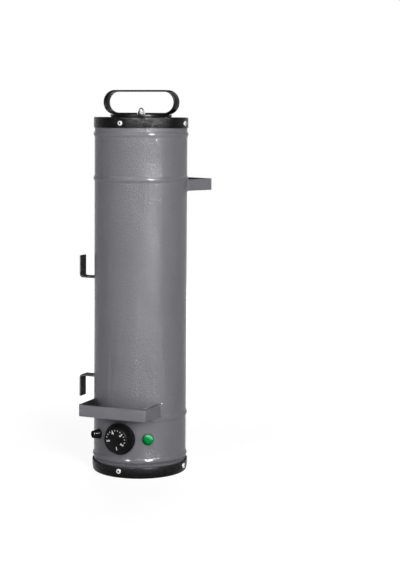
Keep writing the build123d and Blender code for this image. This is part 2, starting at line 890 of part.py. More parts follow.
def lid_insulation():
    radius = pan_radius - pan_wall
    return ring(radius, rod_radius + rod_hole_gap, pan_bottom + pan_wall, lid_underside)


def lid_handle():
    """A flat bar bent to a long loop, its two ends flat on the lid with a gap between."""
    middle = lid_top + handle_height / 2
    plane = Plane(origin=(0, 0, middle), x_dir=(1, 0, 0), z_dir=(0, -1, 0))
    outer = plane * SlotOverall(handle_width, handle_height)
    inner = plane * SlotOverall(handle_width - 2 * handle_wall, handle_height - 2 * handle_wall)
    loop = extrude(outer - inner, handle_bar / 2, both=True)
    half = handle_gap / 2
    loop -= block(-half, half, -handle_bar, handle_bar, lid_top, lid_top + 2 * handle_wall)
    return loop.solid()


def acorn_nut():
    bottom = lid_top
    hexagon = upright_hex(0, 0, nut_width, bottom, bottom + acorn_hex_height)
    dome_centre = bottom + acorn_height - acorn_dome_radius
    dome = disc(acorn_dome_radius, bottom + acorn_hex_height / 2, dome_centre)
    dome += Pos(0, 0, dome_centre) * Sphere(acorn_dome_radius)
    nut = hexagon + dome
    return (nut - disc(rod_radius + nut_gap, bottom, bottom + rod_thread)).solid()


def hex_nut(bottom):
    nut = upright_hex(0, 0, nut_width, bottom, bottom + nut_height)
    return nut - disc(rod_radius + nut_gap, bottom, bottom + nut_height)


def washer(bottom):
    return ring(washer_radius, rod_radius + nut_gap, bottom, bottom + washer_wall)


def lifter_rod():
    """The long rod, with a flat head under the cup."""
    bar = disc(rod_radius, cup_level, lid_top + rod_thread)
    return bar + disc(rod_head_radius, cup_level - rod_head_height, cup_level)


def lifter_cup():
    top = cup_level + cup_height
    low_plane = Plane.XY.offset(cup_level)
    high_plane = Plane.XY.offset(top)
    cup = loft([low_plane * Circle(cup_bottom_radius), high_plane * Circle(cup_top_radius)], ruled=True)
    cup = fillet(cup.edges().filter_by(GeomType.CIRCLE).sort_by(Axis.Z)[0], cup_corner)
    floor = Plane.XY.offset(cup_level + cup_wall)
    hollow = loft(
        [floor * Circle(cup_bottom_radius - cup_wall), high_plane * Circle(cup_top_radius - cup_wall)],
        ruled=True,
    )
    hollow = fillet(hollow.edges().filter_by(GeomType.CIRCLE).sort_by(Axis.Z)[0], cup_corner - cup_wall)
    cup -= hollow
    return cup - disc(rod_radius + rod_hole_gap, cup_level, cup_level + cup_wall)


def main():
    os.makedirs("parts", exist_ok=True)
    save(outer_shell(), "outer_shell")
    save(base_cap(), "base_cap")
    save(top_collar(), "top_collar")
    save_group(cap_screws(cap_screw_level, cap_radius), "base_cap_screws")
    save_group(cap_screws(collar_screw_level, collar_radius), "collar_screws")
    save(inner_chamber(), "inner_chamber")
    save(chamber_floor(), "chamber_floor")
    save(bay_plate(), "bay_plate")
    save(insulation_board(), "insulation_board")
    save(insulation_jacket(), "insulation_jacket")
    for name, level, offset in zip(("lower", "upper"), band_levels, band_stud_offsets):
        save(heater_band(level, offset), name + "_heater_band")
    save_group([clamp_screw(level) for level in band_levels], "band_clamp_screws")
    save(grommet(wire_grommet_radius, wire_grommet_wall, 0, well_centre), "wire_grommet")
    save(grommet(tube_grommet_radius, tube_grommet_wall, capillary_axis, 0), "tube_grommet")
    save(sensing_bulb(), "sensing_bulb")
    save(capillary_tube(), "capillary_tube")
    save(thermostat_body(), "thermostat_body")
    save_group(mount_screws(), "thermostat_screws")
    save(dial_bezel(), "dial_bezel")
    save(dial_knob(), "dial_knob")
    save(dial_spindle(), "dial_spindle")
    save(knob_grub_screw(), "knob_grub_screw")
    save(lamp_lens(), "lamp_lens")
    save(lamp_body(), "lamp_body")
    save_group(lamp_tabs(), "lamp_tabs")
    save(inner_nut(lamp_azimuth, control_level, lamp_nut_width, lamp_nut_height, lamp_body_radius), "lamp_nut")
    save(cable_gland(), "cable_gland")
    save(
        inner_nut(gland_azimuth, gland_level, gland_nut_width, gland_nut_height, gland_shank_radius),
        "gland_locknut",
    )
    save(terminal_block(), "terminal_block")
    save_group(block_screws(), "terminal_block_screws")
    save(earth_stud(), "earth_stud")
    save_group(heater_leads(), "heater_leads")
    save_group(bay_leads(), "bay_leads")
    save(u_bracket(guard_azimuth, guard_level), "dial_guard")
    save(u_bracket(carry_azimuth, carry_level), "carry_bracket")
    save(cable_hook(upper_hook_level, 1), "upper_cable_hook")
    save(cable_hook(lower_hook_level, -1), "lower_cable_hook")
    save(lid_cover(), "lid_cover")
    save(lid_pan(), "lid_pan")
    save(lid_insulation(), "lid_insulation")
    save(lid_handle(), "lid_handle")
    save(acorn_nut(), "acorn_nut")
    save(washer(pan_bottom - washer_wall), "lid_washer")
    save(hex_nut(pan_bottom - washer_wall - nut_height), "lid_nut")
    save(lifter_rod(), "lifter_rod")
    save(lifter_cup(), "lifter_cup")
    save(washer(cup_level + cup_wall), "cup_washer")
    save(hex_nut(cup_level + cup_wall + washer_wall), "cup_nut")


main()
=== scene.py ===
import json
import math

import bmesh
import bpy
from mathutils import Matrix, Vector

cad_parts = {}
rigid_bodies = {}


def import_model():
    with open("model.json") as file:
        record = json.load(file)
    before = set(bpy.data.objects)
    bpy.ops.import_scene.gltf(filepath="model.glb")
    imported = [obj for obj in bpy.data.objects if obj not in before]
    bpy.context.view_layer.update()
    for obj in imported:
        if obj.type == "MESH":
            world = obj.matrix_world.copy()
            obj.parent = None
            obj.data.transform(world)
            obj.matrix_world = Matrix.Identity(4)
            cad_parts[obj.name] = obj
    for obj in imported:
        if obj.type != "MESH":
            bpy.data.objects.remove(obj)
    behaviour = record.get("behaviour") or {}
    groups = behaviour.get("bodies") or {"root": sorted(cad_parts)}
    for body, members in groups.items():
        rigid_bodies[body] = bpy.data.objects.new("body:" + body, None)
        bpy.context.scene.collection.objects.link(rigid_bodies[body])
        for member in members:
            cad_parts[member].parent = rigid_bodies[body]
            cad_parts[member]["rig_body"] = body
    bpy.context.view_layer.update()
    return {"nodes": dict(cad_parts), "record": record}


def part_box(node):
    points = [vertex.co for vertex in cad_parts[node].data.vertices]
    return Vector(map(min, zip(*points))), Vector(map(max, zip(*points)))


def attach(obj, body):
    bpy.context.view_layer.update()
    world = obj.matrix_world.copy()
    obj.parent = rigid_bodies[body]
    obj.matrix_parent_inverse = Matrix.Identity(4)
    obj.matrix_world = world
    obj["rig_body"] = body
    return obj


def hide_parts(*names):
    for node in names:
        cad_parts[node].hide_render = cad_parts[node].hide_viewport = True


bl_info = {
    "name": "Welding electrode oven",
    "version": (1, 0, 0),
    "blender": (4, 5, 0),
    "location": "3D View > Sidebar > Oven",
    "description": "Dresses the packed frame of a portable oven for welding electrodes",
    "category": "Object",
}

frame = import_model()
node_boxes = {node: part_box(node) for node in frame["nodes"]}

FULL_TURN = 2 * math.pi
HALF_TURN = math.pi
QUARTER_TURN = math.pi / 2
UP = Vector((0, 0, 1))
OUT_OF_FRONT = Vector((0, -1, 0))
MERGE_DISTANCE = 1e-6
SMOOTH_ANGLE = math.radians(32)

# How far up a face's normal points where the paint without gloss starts
LOOKS_UP = 0.86

# Steps round a whole turn of each kind of piece, along a bend and up the acorn nut's dome
DRUM_STEPS = 192
CAP_STEPS = 160
LID_STEPS = 144
NUT_STEPS = 96
LAMP_STEPS = 72
SMALL_STEPS = 64
SCREW_STEPS = 48
ROD_STEPS = 32
BEND_STEP = math.radians(7.5)
DOME_STEPS = 8


def low(node):
    """A CAD node's lowest corner."""
    return node_boxes[node][0]


def high(node):
    """A CAD node's highest corner."""
    return node_boxes[node][1]


def heights(node):
    """The levels of a CAD node's underside and top."""
    return low(node).z, high(node).z


def middle_level(node):
    """The level of a CAD node's middle."""
    return sum(heights(node)) / 2


def shell_radius():
    """Radius of the shell between its beads."""
    return high("outer_shell").x - sizes().bead_height


# Values that a user can change


def length(name, default, description):
    """A size in metres."""
    return bpy.props.FloatProperty(
        name=name, description=description, default=default, unit="LENGTH", precision=4
    )


def share(name, default, description):
    """A number from 0 to 1."""
    return bpy.props.FloatProperty(
        name=name, description=description, default=default, min=0, max=1, subtype="FACTOR"
    )


def angle(name, degrees, description):
    """An angle, kept in radians."""
    return bpy.props.FloatProperty(
        name=name, description=description, default=math.radians(degrees), subtype="ANGLE"
    )


def number(name, default, description):
    return bpy.props.FloatProperty(name=name, description=description, default=default)


def count(name, default, description):
    return bpy.props.IntProperty(name=name, description=description, default=default)


def colour(name, default, description):
    return bpy.props.FloatVectorProperty(
        name=name, description=description, default=default, min=0, max=1, size=3, subtype="COLOR"
    )


class OvenSizes(bpy.types.PropertyGroup):
    """Sizes of the new pieces that the frame's boxes don't give."""

    bead_height: length("Bead height", 0.002, "How far the shell's rolled beads stand out")
    bead_width: length("Bead width", 0.010, "Height of a rolled bead along the shell")
    bead_flat: length("Bead crest", 0.0030, "Flat part of a bead's crest before it is rounded")
    bead_round: length("Bead rounding", 0.0019, "Rounding of a bead's crest and feet")
    end_bead_inset: length("End bead inset", 0.029, "From the oven's ends to its outer beads")
    lower_bead_inset: length("Lower bead inset", 0.100, "From the base to the bead over the dial")
    upper_bead_inset: length("Upper bead inset", 0.105, "From the top to the bead by the bracket")
    shell_wall: length("Shell wall", 0.001, "Sheet thickness of the shell")
    cap_wall: length("Cap wall", 0.002, "Sheet thickness of the base cap")
    cap_corner: length("Cap corner", 0.003, "Rounding under the base cap")
    cap_draft: length("Cap draft", 0.0013, "How much narrower the base cap is at its foot")
    cap_draft_height: length("Cap draft height", 0.009, "Where the base cap has its full radius")
    collar_wall: length("Collar wall", 0.0012, "Sheet thickness of the top collar")
    collar_corner: length("Collar corner", 0.0016, "Rounding on top of the collar")
    mouth_radius: length("Mouth radius", 0.0505, "Radius of the collar's round mouth")
    sheet_edge: length("Sheet edge", 0.0004, "Rounding of a cut sheet's edge")
    bar_width: length("Bar width", 0.020, "Width of the flat bar")
    bar_wall: length("Bar thickness", 0.003, "Thickness of the flat bar")
    bar_edge: length("Bar edge", 0.0008, "Rounding along the flat bar's edges")
    bracket_bend: length("Bracket bend", 0.0045, "Outside radius of the brackets' corners")
    hook_bend: length("Hook bend", 0.006, "Outside radius of the hooks' corner")
    weld_radius: length("Weld radius", 0.0016, "Half the width of a weld's ripples")
    weld_pitch: length("Weld pitch", 0.0017, "Distance from one weld ripple to the next")
    knob_front_radius: length("Knob front radius", 0.0213, "Radius of the knob's front")
    knob_dish_radius: length("Knob dish radius", 0.0198, "Radius of the knob's sunk face")
    knob_dish_depth: length("Knob dish depth", 0.0004, "Depth of the knob's sunk face")
    knob_web: length("Knob web", 0.0024, "Wall of the knob's hollow back")
    flute_depth: length("Flute depth", 0.0009, "Depth of the knob's grip flutes")
    numeral_radius: length("Numeral radius", 0.0132, "From the dial's middle to its numerals")
    numeral_height: length("Numeral height", 0.0078, "Type size of the dial's numerals")
    numeral_weight: length("Numeral weight", 0.00022, "How much the numerals' strokes thicken")
    tick_radius: length("Tick radius", 0.0170, "From the dial's middle to its ticks")
    tick_length: length("Tick length", 0.0023, "Length of a dial tick")
    tick_width: length("Tick width", 0.0009, "Width of a dial tick")
    rod_radius: length("Rod radius", 0.003, "Radius of the lifter rod")
    hole_gap: length("Hole gap", 0.0002, "Gap between the rod and its holes")
    thread_pitch: length("Thread pitch", 0.001, "Pitch of the rod's thread")
    thread_depth: length("Thread depth", 0.0005, "Depth of the rod's thread")
    nut_width: length("Nut width", 0.010, "Width of the nuts across their flats")
    cup_corner: length("Cup corner", 0.006, "Rounding under the cup")
    cup_wall: length("Cup wall", 0.0012, "Sheet thickness of the cup")
    rim_roughness: length("Rim roughness", 0.0006, "How uneven the cup's cut rim is")


class OvenFinish(bpy.types.PropertyGroup):
    """Colours, wear and painted corner shade of the visible finishes."""

    shell_grey: colour("Shell grey", (0.206, 0.203, 0.221), "Hammered paint on shell and brackets")
    cap_black: colour("Cap black", (0.018, 0.017, 0.018), "Hammered paint on base cap and collar")
    lid_black: colour("Lid black", (0.012, 0.011, 0.012), "Paint on the lid and its handle")
    knob_black: colour("Knob black", (0.008, 0.008, 0.009), "Moulded dial knob")
    lamp_green: colour("Lamp green", (0.000, 0.230, 0.045), "Pilot lamp's lens")
    cup_metal: colour("Cup metal", (0.42, 0.40, 0.39), "Brushed sheet of the cup")
    rod_metal: colour("Rod metal", (0.075, 0.062, 0.060), "Tarnished steel of rod and nuts")
    wear: share("Wear", 0.45, "How far the paint is rubbed along its edges")
    dust: share("Dust", 0.10, "How much dust lies on faces that look up")
    # How dark the painted shade is in inside corners and under close parts
    painted_shade: share("Grime", 0.78, "How dark the grime in the paint's inside corners is")


def sizes():
    return bpy.context.scene.oven_sizes


def finish():
    return bpy.context.scene.oven_finish


# Mesh helpers


def tidy(bm):
    """Merge doubled points and turn every face outwards."""
    bmesh.ops.remove_doubles(bm, verts=bm.verts, dist=MERGE_DISTANCE)
    bmesh.ops.dissolve_degenerate(bm, edges=bm.edges, dist=MERGE_DISTANCE)
    bmesh.ops.recalc_face_normals(bm, faces=bm.faces)


def spun(outline, steps, closed=True):
    """A skin of revolution about +Z from points given as radius and height."""
    bm = bmesh.new()
    points = [bm.verts.new((radius, 0, height)) for radius, height in outline]
    runs = list(zip(points, points[1:]))
    if closed:
        runs.append((points[-1], points[0]))
    edges = [bm.edges.new(run) for run in runs]
    bmesh.ops.spin(
        bm, geom=points + edges, cent=(0, 0, 0), axis=UP, dvec=(0, 0, 0),
        angle=FULL_TURN, steps=steps, use_merge=True, use_duplicate=False,
    )
    tidy(bm)
    return bm


def from_axis(point):
    return math.hypot(point.x, point.y)


def soften(bm, radius, segments, above=-math.inf, below=math.inf, beyond=-1.0, sharp_from=25):
    """Round the edges, sharp from so many degrees, between two heights and beyond a radius."""
    chosen = []
    for edge in bm.edges:
        middle = (edge.verts[0].co + edge.verts[1].co) / 2
        if len(edge.link_faces) == 2 and edge.calc_face_angle() > math.radians(sharp_from):
            if above < middle.z < below and from_axis(middle) > beyond:
                chosen.append(edge)
    bmesh.ops.bevel(
        bm, geom=chosen, offset=radius, offset_type="OFFSET", segments=segments, profile=0.5,
        affect="EDGES", clamp_overlap=True, material=-1,
    )


def radial_place(azimuth, distance, level):
    """Local x to the right seen from outside, y up and z outwards, at a place on a radius."""
    outward = Vector((math.sin(azimuth), -math.cos(azimuth), 0))
    across = Vector((math.cos(azimuth), math.sin(azimuth), 0))
    turned = Matrix((across, UP, outward)).transposed().to_4x4()
    return Matrix.Translation(outward * distance + UP * level) @ turned


def mesh_from(bm, name):
    mesh = bpy.data.meshes.new(name)
    bm.to_mesh(mesh)
    bm.free()
    return mesh


def absorb(bm, mesh):
    """Join a mesh to a bmesh, and drop it."""
    bm.from_mesh(mesh)
    bpy.data.meshes.remove(mesh)


def new_object(name, data):
    made = bpy.data.objects.new(name, data)
    bpy.context.scene.collection.objects.link(made)
    return made


def worked_mesh(data, kind=None, **options):
    """The mesh that a text gives, or a mesh with one modifier, in place of the original."""
    holder = new_object(data.name, data)
    if kind:
        modifier = holder.modifiers.new(kind, kind)
        for option, value in options.items():
            setattr(modifier, option, value)
    evaluated = holder.evaluated_get(bpy.context.evaluated_depsgraph_get())
    mesh = bpy.data.meshes.new_from_object(evaluated)
    bpy.data.objects.remove(holder)
    store = bpy.data.meshes if kind else bpy.data.curves
    store.remove(data)
    return mesh


def slot_of(node):
    """The record's material slot of a CAD node."""
    for part in frame["record"]["subparts"]:
        if part["node"] == node:
            return part["material_slot"]
    raise RuntimeError("the record has no node named " + node)


def piece(name, bm, node, coat=None, place=None, replaces=True):
    """Make an object from a mesh, with a node's body and slot, and its finish or another coat."""
    if place is not None:
        bmesh.ops.transform(bm, matrix=place, verts=bm.verts)
    mesh = mesh_from(bm, name)
    mesh.polygons.foreach_set("use_smooth", [True] * len(mesh.polygons))
    mesh.set_sharp_from_angle(angle=SMOOTH_ANGLE)
    made = new_object(name, mesh)
    mesh.materials.append(material_for(coat or slot_of(node)))
    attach(made, frame["nodes"][node]["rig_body"])
    if replaces:
        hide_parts(node)
    return made


def matt_top(made, coat):
    """Give a painted piece's faces that look up the same paint without gloss, as use leaves it."""
    made.data.materials.append(material_for(coat, matt=True))
    for face in made.data.polygons:
        if face.normal.z > LOOKS_UP:
            face.material_index = len(made.data.materials) - 1


# Shader helpers


def add(tree, kind, sockets=None, **options):
    """Add a shader node, set its options, and link or set each named input."""
    made = tree.nodes.new("ShaderNode" + kind)
    for option, value in options.items():
        setattr(made, option, value)
    for socket, value in (sockets or {}).items():
        if isinstance(value, bpy.types.NodeSocket):
            tree.links.new(value, made.inputs[socket])
        else:
            made.inputs[socket].default_value = value
    return made


def here(tree):
    """Object coordinates, which stay with the piece."""
    return add(tree, "TexCoord").outputs["Object"]


def facing(tree):
    """The surface's own normal."""
    return add(tree, "NewGeometry").outputs["Normal"]


def noise(tree, place, scale, detail, **more):
    values = {"Vector": place, "Scale": scale, "Detail": detail, **more}
    return add(tree, "TexNoise", values).outputs


def span(tree, value, from_low, from_high, to_low=0.0, to_high=1.0):
    """Map a number smoothly from one range to another, held at both ends."""
    values = {
        "Value": value, "From Min": from_low, "From Max": from_high,
        "To Min": to_low, "To Max": to_high,
    }
    return add(tree, "MapRange", values, interpolation_type="SMOOTHSTEP").outputs["Result"]


def math_of(tree, operation, first, second):
    return add(tree, "Math", {0: first, 1: second}, operation=operation).outputs["Value"]


def times(tree, first, second):
    return math_of(tree, "MULTIPLY", first, second)


def vector_of(tree, operation, *values):
    """A sum or product of vectors, or the number that a dot product or a length gives."""
    made = add(tree, "VectorMath", dict(enumerate(values)), operation=operation)
    return made.outputs["Value" if operation in ("DOT_PRODUCT", "LENGTH") else "Vector"]


def rgba(values):
    return (*values, 1.0)


def shaded(base, factor, lift=0.0):
    """A colour made darker or paler."""
    return tuple(min(1.0, part * factor + lift) for part in base)


def layered(tree, body, *layers):
    """Lay colours over a colour, each through its own mask."""
    for mask, over in layers:
        made = add(tree, "Mix", {0: mask}, data_type="RGBA")
        for index, value in ((6, body), (7, over)):
            if isinstance(value, bpy.types.NodeSocket):
                tree.links.new(value, made.inputs[index])
            else:
                made.inputs[index].default_value = rgba(value)
        body = made.outputs[2]
    return body


def relief(tree, height, strength, depth):
    """A normal bumped by a height."""
    values = {"Height": height, "Strength": strength, "Distance": depth}
    return add(tree, "Bump", values).outputs["Normal"]


# Effects that several materials share, each a node group made when it is first used


def hammered_relief(tree, entry):
    """Cells of a hammered coating: their relief, each cell's own shade, and metal flakes."""
    place = here(tree)
    wobble = noise(tree, place, scale=420.0, detail=2.0)["Color"]
    moved = vector_of(tree, "ADD", place, vector_of(tree, "MULTIPLY", wobble, (0.0016,) * 3))
    cells = {"Vector": moved, "Scale": entry["Cells"]}
    edges = add(tree, "TexVoronoi", cells, feature="DISTANCE_TO_EDGE").outputs["Distance"]
    tints = add(tree, "TexVoronoi", cells).outputs["Color"]
    peel = noise(tree, place, entry["Peel"], entry["Detail"], Roughness=0.62)["Fac"]
    height = math_of(tree, "ADD", span(tree, edges, 0.0, 0.30, 0.0, 0.45), peel)
    grey = add(tree, "RGBToBW", {"Color": tints}).outputs["Val"]
    flake = noise(tree, place, scale=1700.0, detail=2.0)["Fac"]
    return height, grey, span(tree, flake, 0.60, 0.74)


def edge_wear(tree, entry):
    """Where an outside edge is rubbed: broken up by noise."""
    rounded = add(tree, "Bevel", {"Radius": entry["Reach"]}, samples=6).outputs["Normal"]
    edge = span(tree, vector_of(tree, "DOT_PRODUCT", rounded, facing(tree)), 0.985, 0.90)
    broken = noise(tree, here(tree), entry["Break"], detail=5.0)["Fac"]
    return (times(tree, edge, span(tree, broken, 0.50, 0.66)),)


def brushed_grain(tree, entry):
    """Fine lines of brushing round the oven's axis, and broader bands of it."""
    axes = {"X": entry["Along"], "Y": entry["Along"], "Z": entry["Fine"]}
    stretch = add(tree, "CombineXYZ", axes).outputs["Vector"]
    drawn = vector_of(tree, "MULTIPLY", here(tree), stretch)
    eased = vector_of(tree, "MULTIPLY", drawn, (0.6, 0.6, 0.06))
    lines = noise(tree, drawn, scale=1.0, detail=4.0)["Fac"]
    return lines, noise(tree, eased, scale=1.0, detail=3.0)["Fac"]


def stains(tree, entry):
    """Stains and specks: a slow cloud and small spots."""
    place = here(tree)
    cloud = noise(tree, place, entry["Cloud"], detail=5.0)["Fac"]
    speck = noise(tree, place, entry["Speck"], detail=3.0)["Fac"]
    return span(tree, cloud, 0.38, 0.66), span(tree, speck, 0.60, 0.70)


def settled_dust(tree, entry):
    """Where dust settles on faces that look up."""
    upward = add(tree, "SeparateXYZ", {"Vector": facing(tree)}).outputs["Z"]
    clump = noise(tree, here(tree), entry["Clump"], detail=4.0)["Fac"]
    return (times(tree, span(tree, upward, 0.75, 0.97), span(tree, clump, 0.35, 0.70)),)


def painted_corner_shade(tree, entry):
    """Painted shade: darker in inside corners and on faces close under other parts, such as the
    shell under the guard, from ambient occlusion.
    """
    near = add(tree, "AmbientOcclusion", {"Distance": entry["Reach"]}, samples=8)
    return (span(tree, near.outputs["AO"], 0.96, 0.42),)


def painted_reflection_tint(tree, entry):
    """Painted reflection on a round piece: dark on one side and reddish on the other of a given
    azimuth, above its foot.
    """
    place = here(tree)
    turn = math_of(tree, "RADIANS", entry["Azimuth"], 0.0)
    axes = {"Vector": place, "Axis": (0.0, 0.0, -1.0), "Angle": turn}
    turned = add(tree, "VectorRotate", axes, rotation_type="AXIS_ANGLE").outputs["Vector"]
    parts = add(tree, "SeparateXYZ", {"Vector": turned}).outputs
    uneven = noise(tree, place, scale=30.0, detail=2.0)["Fac"]
    lean = span(tree, uneven, 0.2, 0.8, -0.16, 0.16)
    across = math_of(tree, "ADD", math_of(tree, "DIVIDE", parts["X"], entry["Radius"]), lean)
    above = span(tree, parts["Z"], entry["Foot"], entry["Full"])
    dark_reflection = times(tree, span(tree, across, -0.22, -0.62), above)
    return dark_reflection, times(tree, span(tree, across, 0.62, 0.95), above)


EFFECTS = {
    "Hammered relief": (
        hammered_relief, {"Cells": 330.0, "Peel": 240.0, "Detail": 4.0},
        ("Height", "Shade", "Flake"),
    ),
    "Edge wear": (edge_wear, {"Reach": 0.0006, "Break": 260.0}, ("Mask",)),
    "Brushed grain": (brushed_grain, {"Fine": 2600.0, "Along": 26.0}, ("Line", "Band")),
    "Stains": (stains, {"Cloud": 22.0, "Speck": 240.0}, ("Cloud", "Speck")),
    "Settled dust": (settled_dust, {"Clump": 160.0}, ("Mask",)),
    # Painted shade, reaching 45 mm so that it also darkens the shell under the guard
    "Corner grime": (painted_corner_shade, {"Reach": 0.045}, ("Mask",)),
    # The cup's painted reflection, centred on the camera's azimuth of 23 degrees
    "Heat tint": (
        painted_reflection_tint, {"Radius": 0.0415, "Azimuth": 23.0, "Foot": 0.150, "Full": 0.185},
        ("Scorch", "Blush"),
    ),
}


def effect(name):
    """A shader node group with an effect's inputs, outputs and nodes."""
    fill, inputs, outputs = EFFECTS[name]
    tree = bpy.data.node_groups.new(name, "ShaderNodeTree")
    for label, value in inputs.items():
        socket = tree.interface.new_socket(label, in_out="INPUT", socket_type="NodeSocketFloat")
        socket.default_value = value
    for label in outputs:
        tree.interface.new_socket(label, in_out="OUTPUT", socket_type="NodeSocketFloat")
    entry = tree.nodes.new("NodeGroupInput")
    leave = tree.nodes.new("NodeGroupOutput")
    for label, value in zip(outputs, fill(tree, entry.outputs)):
        tree.links.new(value, leave.inputs[label])
    return tree


def use(tree, name, **inputs):
    """Place a shared effect in a material with its own values."""
    group = bpy.data.node_groups.get(name) or effect(name)
    return add(tree, "Group", inputs, node_tree=group).outputs


# Finishes: each gives the inputs of the material's shader

STAIN_BROWN = (0.02, 0.018, 0.016)
RUBBED_METAL = (0.42, 0.41, 0.40)
PALE_DUST = (0.40, 0.38, 0.35)

# Where the hammering fades into a bead and out past its crest, and what is left of it there
BEAD_FADE = (0.0002, 0.0010)
BEAD_HAMMERING = 0.16


def hammered_paint(
    tree, base, cells, depth, roughness, flake, contrast, gloss, detail=4.0, strength=1.0
):
    """Painted metal with hammered cells, flakes, rubbed edges and a little dust, and painted shade
    in its inside corners and under close parts.
    """
    cell = use(tree, "Hammered relief", Cells=cells, Detail=detail)
    cloud = use(tree, "Stains", Cloud=9.0)["Cloud"]
    worn = use(tree, "Edge wear", Reach=0.0007)["Mask"]
    dust = times(tree, use(tree, "Settled dust")["Mask"], finish().dust)
    painted_shade = use(tree, "Corner grime")["Mask"]
    body = layered(
        tree, shaded(base, 1 - contrast),
        (cell["Shade"], shaded(base, 1 + contrast)),
        (cell["Flake"], shaded(base, 1 + flake)),
        (span(tree, cloud, 0, 1, 0.0, 0.05), STAIN_BROWN),
        (times(tree, worn, finish().wear), RUBBED_METAL),
        (dust, PALE_DUST),
        # Painted shade: the base darkened to 0.15 in corners and under close parts
        (times(tree, painted_shade, finish().painted_shade), shaded(base, 0.15)),
    )
    rough = span(tree, cell["Shade"], 0, 1, roughness - 0.05, roughness + 0.06)
    return {
        "Base Color": body,
        "Roughness": math_of(tree, "ADD", rough, times(tree, dust, 0.6)),
        "Specular IOR Level": gloss,
        "Normal": relief(tree, cell["Height"], strength, depth),
    }


def shell_grey(tree):
    """The shell's paint, hammered less on the beads, where the sheet was stretched."""
    crest = high("outer_shell").x
    foot = shell_radius()
    reach = vector_of(tree, "LENGTH", vector_of(tree, "MULTIPLY", here(tree), (1.0, 1.0, 0.0)))
    start, end = BEAD_FADE
    on_bead = span(tree, reach, foot + start, foot + end, 1.0, BEAD_HAMMERING)
    beyond = span(tree, reach, crest + start, crest + end)
    return hammered_paint(
        tree, finish().shell_grey, cells=400.0, depth=0.00046, roughness=0.11, flake=0.20,
        contrast=0.03, gloss=0.036, detail=1.2, strength=math_of(tree, "MAXIMUM", on_bead, beyond),
    )


def painted_inner_shade(tree):
    """The shell's paint darkened on the brackets' and hooks' inner sides, as painted shade."""
    return hammered_paint(
        tree, shaded(finish().shell_grey, 0.42), cells=400.0, depth=0.00030, roughness=0.30,
        flake=0.20, contrast=0.03, gloss=0.01,
    )


def cap_black(tree):
    return hammered_paint(
        tree, finish().cap_black, cells=420.0, depth=0.00012, roughness=0.26, flake=0.8,
        contrast=0.15, gloss=0.05,
    )


def collar_black(tree):
    """The caps' black darkened to a quarter as painted shade, with the collar's coarser hammering.
    """
    return hammered_paint(
        tree, shaded(finish().cap_black, 0.25), cells=450.0, depth=0.00050, roughness=0.07,
        flake=0.8, contrast=0.15, gloss=0.028, detail=1.2,
    )


def lid_black(tree):
    return hammered_paint(
        tree, finish().lid_black, cells=380.0, depth=0.00010, roughness=0.26, flake=0.6,
        contrast=0.12, gloss=0.025,
    )


def plain_metal(
    tree, base, tint, cloud=90.0, speck=800.0, rough=(0.24, 0.44), by="Cloud", spots=None
):
    """Drawn or plated metal with a cloudy tarnish, spotted where a colour for spots is given."""
    stain = use(tree, "Stains", Cloud=cloud, Speck=speck)
    body = layered(tree, base, (stain["Cloud"], tint))
    if spots:
        body = layered(tree, body, (stain["Speck"], spots))
    return {"Base Color": body, "Roughness": span(tree, stain[by], 0, 1, *rough), "Metallic": 1.0}


def screw_steel(tree):
    """Bright zinc plate, a little cloudy."""
    return plain_metal(
        tree, (0.86, 0.86, 0.85), (0.70, 0.70, 0.68), cloud=300.0, speck=1500.0,
        rough=(0.20, 0.34), spots=(0.45, 0.44, 0.42),
    )


def acorn_plate(tree):
    """Polished nickel plate, darker than the screws' zinc."""
    return plain_metal(
        tree, (0.40, 0.40, 0.40), (0.27, 0.27, 0.27), cloud=260.0, speck=1400.0,
        rough=(0.10, 0.22), by="Speck",
    )


def brass_plain(tree):
    return plain_metal(tree, (0.72, 0.52, 0.22), (0.42, 0.27, 0.10))


def copper_tube(tree):
    return plain_metal(tree, (0.78, 0.38, 0.24), (0.36, 0.15, 0.09))


def rod_steel(tree):
    """Steel darkened by the oven's heat, with brown spots and drawn lines."""
    base = finish().rod_metal
    line = use(tree, "Brushed grain", Fine=500.0, Along=900.0)["Line"]
    stain = use(tree, "Stains", Cloud=55.0, Speck=420.0)
    return {
        "Base Color": layered(
            tree, shaded(base, 0.7), (line, shaded(base, 1.35)),
            (stain["Cloud"], (0.10, 0.075, 0.06)), (stain["Speck"], (0.045, 0.026, 0.018)),
        ),
        "Roughness": span(tree, stain["Cloud"], 0, 1, 0.30, 0.52),
        "Metallic": span(tree, stain["Speck"], 0, 1, 1.0, 0.25),
        "Normal": relief(tree, line, strength=0.25, depth=0.00006),
    }


def brushed_metal(tree, base, tint, fine=2600.0, roughness=0.38, tarnish=0.55):
    """Sheet brushed round its axis, with heat tint in slow clouds."""
    grain = use(tree, "Brushed grain", Fine=fine)
    stain = use(tree, "Stains", Cloud=16.0, Speck=300.0)
    return {
        "Base Color": layered(
            tree, shaded(base, 0.78), (grain["Line"], shaded(base, 1.22)),
            (span(tree, stain["Cloud"], 0.25, 1, 0, tarnish), tint),
            (span(tree, stain["Speck"], 0, 1, 0, 0.5), shaded(base, 0.4)),
        ),
        "Roughness": span(tree, grain["Band"], 0.3, 0.7, roughness - 0.05, roughness + 0.12),
        "Metallic": 1.0,
        "Normal": relief(tree, grain["Line"], strength=0.30, depth=0.00005),
    }


def chamber_steel(tree):
    return brushed_metal(tree, (0.50, 0.48, 0.46), (0.30, 0.22, 0.16), fine=900.0, roughness=0.36)


def cup_metal(tree):
    """Brushed sheet, with a painted dark reflection on one side and a painted reddish reflection on
    the other.
    """
    made = brushed_metal(tree, finish().cup_metal, (0.30, 0.26, 0.25), tarnish=0.5)
    tint = use(tree, "Heat tint")
    # Painted reflection: dark on one side of the cup, reddish on the other
    made["Base Color"] = layered(
        tree, made["Base Color"],
        (times(tree, tint["Scorch"], 0.92), (0.030, 0.022, 0.020)),
        (times(tree, tint["Blush"], 0.80), (0.13, 0.065, 0.060)),
    )
    return made


